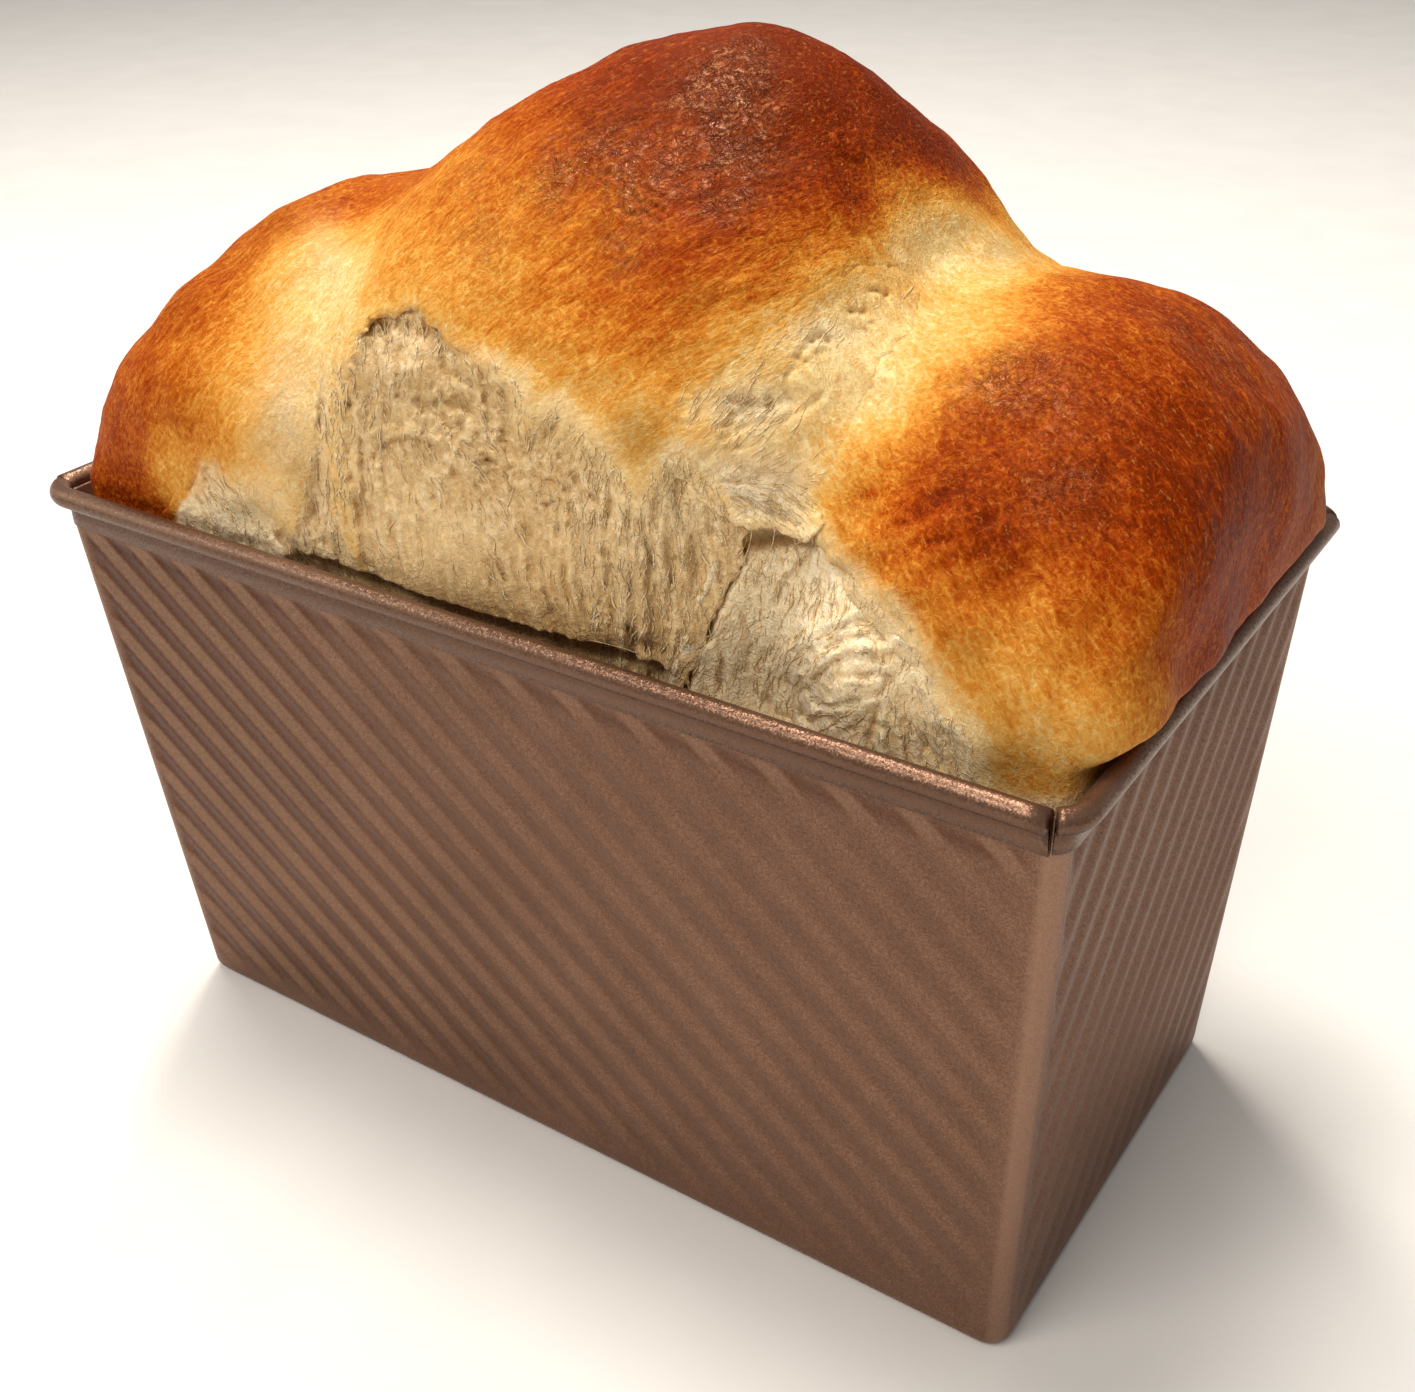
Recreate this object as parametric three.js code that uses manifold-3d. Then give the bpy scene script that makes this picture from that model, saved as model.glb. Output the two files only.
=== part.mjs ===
// Milk loaf standing in its corrugated steel loaf tin.
// Millimetres, +Z up, origin at the centre of the tin's flat bottom.
// X runs along the tin, Y across it, and the torn face of the loaf looks to -Y.
import * as THREE from 'three';
import { mergeVertices } from 'three/addons/utils/BufferGeometryUtils.js';
import Module from 'manifold-3d';

const wasm = await Module();
wasm.setup();

// ---------------------------------------------------------------- tin sizes
const TIN_TOP_LENGTH = 196;      // outside, at the lower edge of the rim band
const TIN_TOP_WIDTH = 106.7;
const TIN_BOTTOM_LENGTH = 187;
const TIN_BOTTOM_WIDTH = 92;
const WALL_HEIGHT = 107.4;       // up to the lower edge of the rim band
const SHEET = 0.8;               // sheet thickness
const CORNER_RADIUS = 3.2;       // upright corner bends, outside
const FOOT_RADIUS = 2.6;         // bend between wall and bottom
const BAND_PROUD = 0.55;         // the hem's flat tail stands off the wall
const BAND_TOP = 111.9;
const ROLL_RADIUS = 1.9;         // rolled rim
const ROLL_OUT = 1.6;            // roll centre, outward of the wall
const ROLL_Z = 113.6;            // roll centre height
const HEM_SLOT = 0.5;            // the gap where two hems meet at a corner
const HEM_SLOT_BACK = 1.6;       // its distance back from the wall's corner

// ribs pressed into the sheet, as seen from outside each wall
const RIB_PITCH_LONG = 7.9;      // square to the ribs, long walls
const RIB_PITCH_END = 8.2;
const RIB_ANGLE_LONG = -41.2;    // degrees from level: they fall to the right
const RIB_ANGLE_END = 57;        // they rise to the right
const RIB_DEPTH = 0.9;
const RIB_PROUD = 0.3;           // crest outside the plain sheet
const RIB_STEEP = 0.42;          // share of the pitch taken by the upper flank
const RIB_MARGIN_SIDE = 4.5;     // plain sheet beside the upright corners
const RIB_MARGIN_FOOT = 3.4;
const RIB_MARGIN_BAND = 0.8;

// --------------------------------------------------------------- loaf sizes
const LOAF_FOOT_Z = 1.2;         // underside of the loaf, just clear of the tin
const LOAF_SIDE_GAP = 1.85;      // side of the loaf, inward of the tin's outside
const LOAF_SHOULDER_Z = 104;     // the loaf leaves the wall and domes up above this
const LOAF_BLEND = 18;           // how softly the lobes run into each other
const LOAF_BLEND_FRONT = 9;      // the same low on the torn face
const LOAF_LEAN = 5;             // how far the crust leans out over the rim
const LEAN_FROM_Z = 114.6;       // and between which heights it does so
const LEAN_TO_Z = 122;
const LOAF_CORNER = 8;           // upright corners
const AXIS_Z = 106;              // height of the axis that the dome is swept from
const DOME_ROWS = 18;
const LOOP_SIDE = 27;            // points along each long side of the loaf
const LOOP_END = 15;             // points round each end
// lobes: centre, radii (left, right, across, up), plan and dome roundness, yaw
const LOBES = [
  { c: [-58.7, -8.2, 112.3], left: 38.4, right: 39.8, across: 55.9, up: 51.9, plan: 2.69, dome: 1.59, yaw: -17.7 },
  { c: [13.1, 4.7, 135.3], left: 74.4, right: 43.9, across: 58.0, up: 57.8, plan: 2.68, dome: 1.61, yaw: 4.2 },
  { c: [68.5, 4.6, 115.4], left: 35.1, right: 43.8, across: 56.5, up: 47.6, plan: 2.57, dome: 1.77, yaw: 12.3 },
  { c: [-62, 20, 98], left: 36, right: 40, across: 34, up: 38, plan: 3, dome: 2, yaw: 0 },
];
const TEAR_DEPTH = 2.6;          // the torn crumb lies behind the crust's lip
// torn faces: middle x, half width, height of the crust's lip, its fall along x
const TEARS = [
  { x: -68, half: 17, lip: 126, fall: 0.35 },
  { x: -1, half: 30, lip: 153, fall: 0.28 },
  { x: 60, half: 24, lip: 134, fall: 0.75 },
];

// ------------------------------------------------------------ mesh helpers
function cleaned(geometry) {
  const g = geometry.clone();
  g.deleteAttribute('normal');
  g.deleteAttribute('uv');
  return mergeVertices(g, 1e-4);
}
function solidOf(geometry) {
  const g = cleaned(geometry);
  return new wasm.Manifold(new wasm.Mesh({
    numProp: 3,
    vertProperties: new Float32Array(g.attributes.position.array),
    triVerts: new Uint32Array(g.index.array),
  }));
}
function geometryOf(solid) {
  const m = solid.getMesh();
  const g = new THREE.BufferGeometry();
  const p = new Float32Array(m.numVert * 3);
  for (let i = 0; i < m.numVert; i++) for (let k = 0; k < 3; k++) p[i * 3 + k] = m.vertProperties[i * m.numProp + k];
  g.setAttribute('position', new THREE.BufferAttribute(p, 3));
  g.setIndex(new THREE.BufferAttribute(new Uint32Array(m.triVerts), 1));
  g.computeVertexNormals();
  return g;
}
// rings of points, each the same length, skinned and closed at both ends
function skinned(rings, closeFirst, closeLast) {
  const n = rings[0].length;
  const pos = [];
  const tri = [];
  for (const r of rings) for (const p of r) pos.push(...p);
  for (let j = 0; j + 1 < rings.length; j++) {
    for (let i = 0; i < n; i++) {
      const a = j * n + i, b = j * n + (i + 1) % n, c = b + n, d = a + n;
      tri.push(a, b, c, a, c, d);
    }
  }
  if (closeFirst) {
    const k = pos.length / 3;
    pos.push(...closeFirst);
    for (let i = 0; i < n; i++) tri.push(k, (i + 1) % n, i);
  }
  if (closeLast) {
    const k = pos.length / 3;
    const o = (rings.length - 1) * n;
    pos.push(...closeLast);
    for (let i = 0; i < n; i++) tri.push(k, o + i, o + (i + 1) % n);
  }
  const g = new THREE.BufferGeometry();
  g.setAttribute('position', new THREE.BufferAttribute(new Float32Array(pos), 3));
  g.setIndex(tri);
  return g;
}

// --------------------------------------------------------------------- tin
const halfAt = (z) => {
  const k = z / WALL_HEIGHT;
  return [
    (TIN_BOTTOM_LENGTH + (TIN_TOP_LENGTH - TIN_BOTTOM_LENGTH) * k) / 2,
    (TIN_BOTTOM_WIDTH + (TIN_TOP_WIDTH - TIN_BOTTOM_WIDTH) * k) / 2,
  ];
};
const CORNER_STEPS = 4;
function roundedLoop(out, z, wallZ = z) {
  const [hx0, hy0] = halfAt(wallZ);
  const hx = hx0 + out, hy = hy0 + out;
  const r = Math.max(CORNER_RADIUS + out, 0.6);
  const loop = [];
  for (const [sx, sy, a0] of [[1, -1, -90], [1, 1, 0], [-1, 1, 90], [-1, -1, 180]]) {
    for (let i = 0; i <= CORNER_STEPS; i++) {
      const a = THREE.MathUtils.degToRad(a0 + 90 * i / CORNER_STEPS);
      loop.push([sx * (hx - r) + r * Math.cos(a), sy * (hy - r) + r * Math.sin(a), z]);
    }
  }
  return loop;
}
function tinShell() {
  const rings = [];
  rings.push(roundedLoop(-FOOT_RADIUS, 0));
  for (const a of [30, 60, 90]) {
    const t = THREE.MathUtils.degToRad(a);
    rings.push(roundedLoop(-FOOT_RADIUS * (1 - Math.sin(t)), FOOT_RADIUS * (1 - Math.cos(t))));
  }
  rings.push(roundedLoop(0, WALL_HEIGHT));
  rings.push(roundedLoop(BAND_PROUD, WALL_HEIGHT, WALL_HEIGHT));
  rings.push(roundedLoop(BAND_PROUD, BAND_TOP, WALL_HEIGHT));
  for (let a = -120; a <= 150; a += 30) {
    const t = THREE.MathUtils.degToRad(a);
    rings.push(roundedLoop(ROLL_OUT + ROLL_RADIUS * Math.cos(t), ROLL_Z + ROLL_RADIUS * Math.sin(t), WALL_HEIGHT));
  }
  rings.push(roundedLoop(-SHEET, ROLL_Z - 0.6, WALL_HEIGHT));
  rings.push(roundedLoop(-SHEET, WALL_HEIGHT));
  rings.push(roundedLoop(-SHEET, FOOT_RADIUS));
  rings.push(roundedLoop(-SHEET - 1.3, SHEET));
  return skinned(rings, [0, 0, 0], [0, 0, SHEET]);
}
// a wall's own frame: a along the wall, h up its slope, n outward
function wallMatrix(side) {
  const long = side === 'front' || side === 'back';
  const run = long ? (TIN_TOP_WIDTH - TIN_BOTTOM_WIDTH) / 2 : (TIN_TOP_LENGTH - TIN_BOTTOM_LENGTH) / 2;
  const lean = Math.atan2(run, WALL_HEIGHT);
  const out = new THREE.Vector3(0, -1, 0);
  const along = new THREE.Vector3(1, 0, 0);
  if (!long) { out.set(1, 0, 0); along.set(0, 1, 0); }
  const up = out.clone().multiplyScalar(Math.sin(lean)).add(new THREE.Vector3(0, 0, Math.cos(lean)));
  const n = along.clone().cross(up);
  const m = new THREE.Matrix4().makeBasis(along, up, n);
  m.setPosition(out.multiplyScalar((long ? TIN_BOTTOM_WIDTH : TIN_BOTTOM_LENGTH) / 2));
  if (side === 'back' || side === 'left') m.premultiply(new THREE.Matrix4().makeRotationZ(Math.PI));
  return m;
}
function wallOutline(side, grow) {
  const long = side === 'front' || side === 'back';
  const top = (long ? TIN_TOP_LENGTH : TIN_TOP_WIDTH) / 2 - RIB_MARGIN_SIDE + grow;
  const bottom = (long ? TIN_BOTTOM_LENGTH : TIN_BOTTOM_WIDTH) / 2 - RIB_MARGIN_SIDE + grow;
  const run = long ? (TIN_TOP_WIDTH - TIN_BOTTOM_WIDTH) / 2 : (TIN_TOP_LENGTH - TIN_BOTTOM_LENGTH) / 2;
  const slope = Math.hypot(run, WALL_HEIGHT);
  const y0 = RIB_MARGIN_FOOT - grow, y1 = slope - RIB_MARGIN_BAND + grow * 0.5;
  const at = (h) => bottom + (top - bottom) * h / slope;
  const s = new THREE.Shape();
  s.moveTo(-at(y0), y0); s.lineTo(at(y0), y0); s.lineTo(at(y1), y1); s.lineTo(-at(y1), y1); s.closePath();
  const g = new THREE.ExtrudeGeometry(s, { depth: 12, bevelEnabled: false });
  g.translate(0, 0, -6);
  g.applyMatrix4(wallMatrix(side));
  return g;
}
function ribbedPlate(side) {
  const long = side === 'front' || side === 'back';
  const pitch = long ? RIB_PITCH_LONG : RIB_PITCH_END;
  const angle = THREE.MathUtils.degToRad(long ? RIB_ANGLE_LONG : RIB_ANGLE_END);
  const half = Math.ceil(125 / pitch);
  const crest = [];
  for (let i = -half; i <= half; i++) {
    crest.push([i * pitch, RIB_PROUD - RIB_DEPTH]);
    crest.push([(i + 1 - RIB_STEEP) * pitch, RIB_PROUD]);
  }
  const s = new THREE.Shape();
  s.moveTo(...crest[0]);
  for (const p of crest.slice(1)) s.lineTo(...p);
  for (const p of [...crest].reverse()) s.lineTo(p[0], p[1] - SHEET);
  s.closePath();
  const g = new THREE.ExtrudeGeometry(s, { depth: 280, bevelEnabled: false });
  g.translate(0, 0, -140);
  // shape x: square to the ribs, shape y: outward, depth: along the ribs
  const alongRib = new THREE.Vector3(Math.cos(angle), Math.sin(angle), 0);
  const out = new THREE.Vector3(0, 0, 1);
  const across = out.clone().cross(alongRib);
  g.applyMatrix4(new THREE.Matrix4().makeBasis(across, out, alongRib));
  g.translate(0, WALL_HEIGHT / 2, 0);
  g.applyMatrix4(wallMatrix(side));
  return g;
}
function buildTin() {
  let tin = solidOf(tinShell());
  for (const side of ['front', 'right', 'back', 'left']) {
    tin = tin.subtract(solidOf(wallOutline(side, 0)));
    tin = tin.add(solidOf(ribbedPlate(side)).intersect(solidOf(wallOutline(side, 0.5))));
  }
  // one slot in the hem beside each corner, where the two hems meet
  const hx = TIN_TOP_LENGTH / 2, hy = TIN_TOP_WIDTH / 2;
  const cut = (x, y, alongX) => {
    const g = new THREE.BoxGeometry(alongX ? HEM_SLOT : 6, alongX ? 6 : HEM_SLOT, 9);
    g.translate(x, y, WALL_HEIGHT + 4.5);
    tin = tin.subtract(solidOf(g));
  };
  for (const s of [1, -1]) {
    cut(s * (hx - HEM_SLOT_BACK), -s * (hy + 3.05), true);
    cut(-s * (hx + 3.05), -s * (hy - HEM_SLOT_BACK), false);
  }
  return geometryOf(tin);
}

// -------------------------------------------------------------------- loaf
const mix = (a, b, t) => a + (b - a) * t;
const clamp = (v, lo, hi) => Math.min(Math.max(v, lo), hi);
const smoothstep = (a, b, v) => { const t = clamp((v - a) / (b - a), 0, 1); return t * t * (3 - 2 * t); };
function softMin(a, b, k) {
  const h = clamp(0.5 + 0.5 * (b - a) / k, 0, 1);
  return mix(b, a, h) - k * h * (1 - h);
}
function lobeDistance(x, y, z, l) {
  const a = THREE.MathUtils.degToRad(l.yaw);
  const dx = x - l.c[0], dy = y - l.c[1], dz = Math.max(z - l.c[2], 0);
  const qx = Math.cos(a) * dx + Math.sin(a) * dy, qy = -Math.sin(a) * dx + Math.cos(a) * dy;
  const u = Math.abs(qx / (qx < 0 ? l.left : l.right)), v = Math.abs(qy / l.across), w = dz / l.up;
  const g = Math.pow(Math.pow(u, l.plan) + Math.pow(v, l.plan), 1 / l.plan);
  const f = Math.pow(Math.pow(g, l.dome) + Math.pow(w, l.dome), 1 / l.dome);
  const radius = clamp(Math.hypot(qx, qy, dz) / Math.max(f, 1e-6), 20, 80);
  return (f - 1) * radius;
}
function boxDistance(x, y, hx, hy, r) {
  const qx = Math.abs(x) - (hx - r), qy = Math.abs(y) - (hy - r);
  return Math.hypot(Math.max(qx, 0), Math.max(qy, 0)) + Math.min(Math.max(qx, qy), 0) - r;
}
function loafDistance(x, y, z) {
  const front = smoothstep(-30, -46, y) * smoothstep(158, 140, z);
  const blend = mix(LOAF_BLEND, LOAF_BLEND_FRONT, front);
  let d = Infinity;
  for (const l of LOBES) {
    const e = lobeDistance(x, y, z, l);
    d = d === Infinity ? e : softMin(d, e, blend);
  }
  let tear = 0;
  for (const t of TEARS) {
    const lip = t.lip - (x - t.x) * t.fall;
    tear += smoothstep(t.half + 7, t.half - 5, Math.abs(x - t.x)) * smoothstep(lip + 3, lip - 6, z);
  }
  d += TEAR_DEPTH * Math.min(tear, 1) * smoothstep(-32, -46, y);
  const [hx, hy] = halfAt(Math.min(z, WALL_HEIGHT));
  const lean = smoothstep(LEAN_FROM_Z, LEAN_TO_Z, z) * LOAF_LEAN;
  const inside = boxDistance(x, y, hx - LOAF_SIDE_GAP + lean, hy - LOAF_SIDE_GAP + lean, LOAF_CORNER);
  // the dough fills the tin out to its walls up to the shoulder
  d = softMin(d, z - LOAF_SHOULDER_Z, 8);
  return -softMin(-d, -inside, mix(3, 8, smoothstep(LEAN_FROM_Z, LEAN_TO_Z + 5, z)));
}
function loafSection(hx, hy, z, r) {
  // loop of points, even along the sides and round the ends
  const pts = [];
  const n = LOOP_SIDE, m = LOOP_END;
  for (let i = 0; i < n; i++) pts.push([mix(-(hx - r), hx - r, i / (n - 1)), -hy, z]);
  const end = (sx) => {
    const out = [];
    for (let i = 1; i <= m; i++) {
      const t = i / (m + 1);
      // quarter turn, straight, quarter turn
      const q = t < 0.25 ? t / 0.25 : t > 0.75 ? (t - 0.75) / 0.25 : null;
      if (t < 0.25) out.push([sx * (hx - r + r * Math.sin(q * Math.PI / 2)), -hy + r - r * Math.cos(q * Math.PI / 2), z]);
      else if (t > 0.75) out.push([sx * (hx - r + r * Math.cos(q * Math.PI / 2)), hy - r + r * Math.sin(q * Math.PI / 2), z]);
      else out.push([sx * hx, mix(-(hy - r), hy - r, (t - 0.25) / 0.5), z]);
    }
    return out;
  };
  pts.push(...end(1));
  for (let i = 0; i < n; i++) pts.push([mix(hx - r, -(hx - r), i / (n - 1)), hy, z]);
  pts.push(...end(-1).reverse());
  return pts;
}
function buildLoaf() {
  const rings = [];
  const inset = (z) => { const [a, b] = halfAt(z); return [a - LOAF_SIDE_GAP - 0.2, b - LOAF_SIDE_GAP - 0.2]; };
  {
    const [a, b] = inset(LOAF_FOOT_Z);
    rings.push(loafSection(a - 3, b - 3, LOAF_FOOT_Z, 5));
    const [c, d] = inset(LOAF_FOOT_Z + 3);
    rings.push(loafSection(c, d, LOAF_FOOT_Z + 3, 7));
    const [e, f] = inset(LOAF_SHOULDER_Z - 4);
    rings.push(loafSection(e, f, LOAF_SHOULDER_Z - 4, 7));
  }
  // dome: rays from a level axis, turning from level to straight up
  const [hx, hy] = inset(LOAF_SHOULDER_Z);
  const loop = loafSection(hx, hy, AXIS_Z, 20);
  const spine = hx - 36;
  const hit = (o, dir) => {
    let lo = 2, hi = 130;
    let t = lo;
    while (t < hi && loafDistance(o[0] + dir[0] * t, o[1] + dir[1] * t, o[2] + dir[2] * t) < 0) t += 2;
    lo = t - 2; hi = t;
    for (let k = 0; k < 30; k++) {
      const mid = (lo + hi) / 2;
      if (loafDistance(o[0] + dir[0] * mid, o[1] + dir[1] * mid, o[2] + dir[2] * mid) < 0) lo = mid; else hi = mid;
    }
    return [o[0] + dir[0] * lo, o[1] + dir[1] * lo, o[2] + dir[2] * lo];
  };
  for (let j = 0; j < DOME_ROWS; j++) {
    const e = (j / DOME_ROWS) * Math.PI / 2;
    rings.push(loop.map((p) => {
      const o = [clamp(p[0] * spine / hx, -spine, spine), 0, AXIS_Z];
      const flat = new THREE.Vector2(p[0] - o[0], p[1] - o[1]).normalize();
      return hit(o, [flat.x * Math.cos(e), flat.y * Math.cos(e), Math.sin(e)]);
    }));
  }
  // the crest line closes the dome: both sides of the loop meet on it
  rings.push(loop.map((p) => hit([clamp(p[0] * spine / hx, -spine, spine), 0, AXIS_Z], [0, 0, 1])));
  const g = skinned(rings, [0, 0, LOAF_FOOT_Z], null);
  return cleanedSolid(g);
}
// merge the meeting points of the crest and drop the flat triangles there
function cleanedSolid(geometry) {
  const g = mergeVertices(geometry, 1e-3);
  const keep = [];
  const idx = g.index.array;
  for (let i = 0; i < idx.length; i += 3) {
    const [a, b, c] = [idx[i], idx[i + 1], idx[i + 2]];
    if (a !== b && b !== c && a !== c) keep.push(a, b, c);
  }
  g.setIndex(keep);
  g.computeVertexNormals();
  return g;
}

// ------------------------------------------------------------------- scene
const group = new THREE.Group();

const tin = new THREE.Mesh(buildTin(), new THREE.MeshStandardMaterial({
  color: new THREE.Color(0x7a5c4e), roughness: 0.38, metalness: 0.75,
}));
tin.name = 'tin';
group.add(tin);

const loaf = new THREE.Mesh(buildLoaf(), new THREE.MeshStandardMaterial({
  color: new THREE.Color(0xc0783a), roughness: 0.5, metalness: 0,
}));
loaf.name = 'loaf';
group.add(loaf);

export default group;
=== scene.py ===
import bpy, math
import numpy as np
from mathutils import Matrix, Vector


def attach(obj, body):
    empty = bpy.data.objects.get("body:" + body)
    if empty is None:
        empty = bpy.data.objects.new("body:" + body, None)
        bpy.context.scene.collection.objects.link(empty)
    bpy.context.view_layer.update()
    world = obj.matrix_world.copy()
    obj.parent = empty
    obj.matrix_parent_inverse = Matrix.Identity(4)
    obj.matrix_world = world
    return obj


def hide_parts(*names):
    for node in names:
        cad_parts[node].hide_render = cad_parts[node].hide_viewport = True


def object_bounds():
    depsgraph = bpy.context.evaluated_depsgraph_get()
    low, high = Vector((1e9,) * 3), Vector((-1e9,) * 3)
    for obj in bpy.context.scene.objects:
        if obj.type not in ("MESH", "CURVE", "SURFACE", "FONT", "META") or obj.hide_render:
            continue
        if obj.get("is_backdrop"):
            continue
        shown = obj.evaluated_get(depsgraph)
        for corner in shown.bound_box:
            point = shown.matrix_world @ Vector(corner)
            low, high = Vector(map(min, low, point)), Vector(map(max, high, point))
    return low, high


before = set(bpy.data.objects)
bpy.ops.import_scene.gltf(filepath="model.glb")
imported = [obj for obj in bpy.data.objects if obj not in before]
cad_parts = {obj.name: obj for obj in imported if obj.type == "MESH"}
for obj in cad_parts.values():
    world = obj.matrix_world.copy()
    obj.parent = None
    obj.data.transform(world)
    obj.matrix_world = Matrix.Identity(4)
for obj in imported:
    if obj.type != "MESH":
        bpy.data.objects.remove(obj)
CAD_BOX = [list(c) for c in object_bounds()]
F = np.float32
MM = 0.001

# ---------------------------------------------------------------- camera
CAM_AT = np.array([162.830, -228.497, 240.964])
CAM_RIGHT = np.array([0.8314946, 0.5552465, -0.0178346])
CAM_DOWN = np.array([0.2712783, -0.4338426, -0.8591791])
CAM_AHEAD = np.array([-0.4847936, 0.7095646, -0.5113641])
FOCAL = 1740.84
CX, CY = 707.5, 696.0

cam_data = bpy.data.cameras.new("camera")
cam_data.sensor_fit = "HORIZONTAL"
cam_data.sensor_width = 36.0
cam_data.lens = FOCAL / 1415 * 36.0
cam_data.clip_start, cam_data.clip_end = 0.01, 20
cam = bpy.data.objects.new("camera", cam_data)
bpy.context.scene.collection.objects.link(cam)
m = Matrix.Identity(4)
for i, axis in enumerate((CAM_RIGHT, -CAM_DOWN, -CAM_AHEAD)):
    for k in range(3):
        m[k][i] = axis[k]
for k in range(3):
    m[k][3] = CAM_AT[k] * MM
cam.matrix_world = m
bpy.context.scene.camera = cam


def project(P):
    """where a point in mm falls in the picture, in its 1415 x 1392 pixels"""
    q = P - CAM_AT.astype(F)
    w = q @ CAM_AHEAD.astype(F)
    return CX + FOCAL * (q @ CAM_RIGHT.astype(F)) / w, CY + FOCAL * (q @ CAM_DOWN.astype(F)) / w


# ----------------------------------------------------------------- noise
class Noise:
    """smooth lattice noise, -1..1, the same on every run"""

    def __init__(self, seed, n=64):
        self.t = (np.random.default_rng(seed).random(n * n * n, dtype=F) * 2 - 1)
        self.n = n

    def __call__(self, x, y, z):
        n = self.n
        xf, yf, zf = np.floor(x), np.floor(y), np.floor(z)
        u, v, w = x - xf, y - yf, z - zf
        u = u * u * (3 - 2 * u); v = v * v * (3 - 2 * v); w = w * w * (3 - 2 * w)
        x0 = xf.astype(np.int32) & (n - 1); x1 = (x0 + 1) & (n - 1)
        y0 = yf.astype(np.int32) & (n - 1); y1 = (y0 + 1) & (n - 1)
        z0 = zf.astype(np.int32) & (n - 1); z1 = (z0 + 1) & (n - 1)
        x0 = x0 * (n * n); x1 = x1 * (n * n); y0 = y0 * n; y1 = y1 * n
        t = self.t
        a = t[x0 + y0 + z0]; a = a + (t[x1 + y0 + z0] - a) * u
        b = t[x0 + y1 + z0]; b = b + (t[x1 + y1 + z0] - b) * u
        c = t[x0 + y0 + z1]; c = c + (t[x1 + y0 + z1] - c) * u
        d = t[x0 + y1 + z1]; d = d + (t[x1 + y1 + z1] - d) * u
        a = a + (b - a) * v
        c = c + (d - c) * v
        return a + (c - a) * w


N1, N2, N3, N4, N5 = (Noise(s) for s in (11, 23, 37, 51, 77))


def lerp(a, b, t):
    return a + (b - a) * t


def ss(a, b, x):
    t = np.clip((x - a) / (b - a), 0, 1)
    return t * t * (3 - 2 * t)


# ---------------------------------------------------- regions of the loaf
# Outlines of the torn places on the loaf's near side, as seen by the camera.
GX = np.arange(0, 1416, 2, dtype=F)
GY = np.arange(0, 1001, 2, dtype=F)
GU, GV = np.meshgrid(GX, GY)


class Region:
    """signed distance to a closed outline, in pixels, below zero inside"""

    def __init__(self, pts):
        p = np.array(pts, F)
        q = np.roll(p, -1, 0)
        d2 = np.full(GU.shape, 1e9, F)
        inside = np.zeros(GU.shape, bool)
        for (ax, ay), (bx, by) in zip(p, q):
            ex, ey = bx - ax, by - ay
            t = np.clip(((GU - ax) * ex + (GV - ay) * ey) / (ex * ex + ey * ey + 1e-6), 0, 1)
            d2 = np.minimum(d2, (GU - ax - ex * t) ** 2 + (GV - ay - ey * t) ** 2)
            c = (ay > GV) != (by > GV)
            if ay != by:
                inside ^= c & (GU < (bx - ax) * (GV - ay) / (by - ay) + ax)
        self.s = np.sqrt(d2) * np.where(inside, -1, 1).astype(F)

    def __call__(self, u, v):
        x = np.clip(u / 2, 0, len(GX) - 1.001)
        y = np.clip(v / 2, 0, len(GY) - 1.001)
        xi, yi = x.astype(np.int32), y.astype(np.int32)
        x = x - xi; y = y - yi
        s = self.s
        a = s[yi, xi] * (1 - x) + s[yi, xi + 1] * x
        b = s[yi + 1, xi] * (1 - x) + s[yi + 1, xi + 1] * x
        return a * (1 - y) + b * y


CRUMB_M = Region([
    (358, 338), (370, 330), (380, 319), (394, 317), (411, 309), (422, 316), (430, 329), (443, 328), (440, 341), (450, 346),
    (471, 356), (494, 361), (501, 374), (516, 375), (521, 393), (528, 407), (524, 418), (545, 411), (559, 402), (572, 424),
    (589, 438), (609, 449), (618, 471), (625, 488), (634, 500), (643, 494), (651, 475), (663, 461), (678, 452), (700, 470),
    (724, 508), (733, 530), (731, 558), (720, 577), (707, 601), (696, 622), (690, 652), (668, 690), (640, 700), (560, 690),
    (480, 660), (400, 620), (372, 590), (356, 560), (344, 520), (336, 470), (334, 420), (338, 370)])
CRUMB_R = Region([
    (735, 522), (766, 527), (790, 532), (812, 536), (818, 546), (826, 557), (842, 573), (868, 595), (889, 613), (904, 629),
    (914, 647), (919, 661), (930, 677), (936, 696), (946, 712), (962, 726), (972, 744), (976, 768), (981, 787), (990, 800),
    (985, 850), (900, 830), (800, 780), (700, 740), (664, 690), (692, 656), (698, 622), (709, 601), (722, 577), (733, 558)])
CRUMB_L = Region([
    (172, 530), (178, 512), (188, 494), (194, 474), (199, 459), (211, 457), (225, 468), (245, 485), (266, 507), (284, 530),
    (298, 500), (305, 450), (312, 390), (321, 350), (334, 370), (332, 420), (334, 480), (346, 540), (372, 596), (400, 640),
    (300, 600), (170, 545)])
VALLEY = Region([
    (648, 470), (652, 430), (656, 392), (680, 378), (716, 372), (745, 352), (766, 330), (796, 300), (826, 282), (858, 262), (900, 262),
    (926, 290), (915, 330), (884, 362), (872, 392), (856, 422), (842, 452), (826, 480), (816, 505), (820, 528), (806, 538),
    (770, 528), (735, 524), (722, 508), (700, 474), (680, 456), (664, 466), (652, 486)])
SEAM = Region([
    (716, 512), (746, 518), (746, 560), (732, 590), (718, 612), (708, 640), (702, 690), (655, 700), (676, 660), (686, 620),
    (698, 590), (712, 568), (722, 545)])
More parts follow.
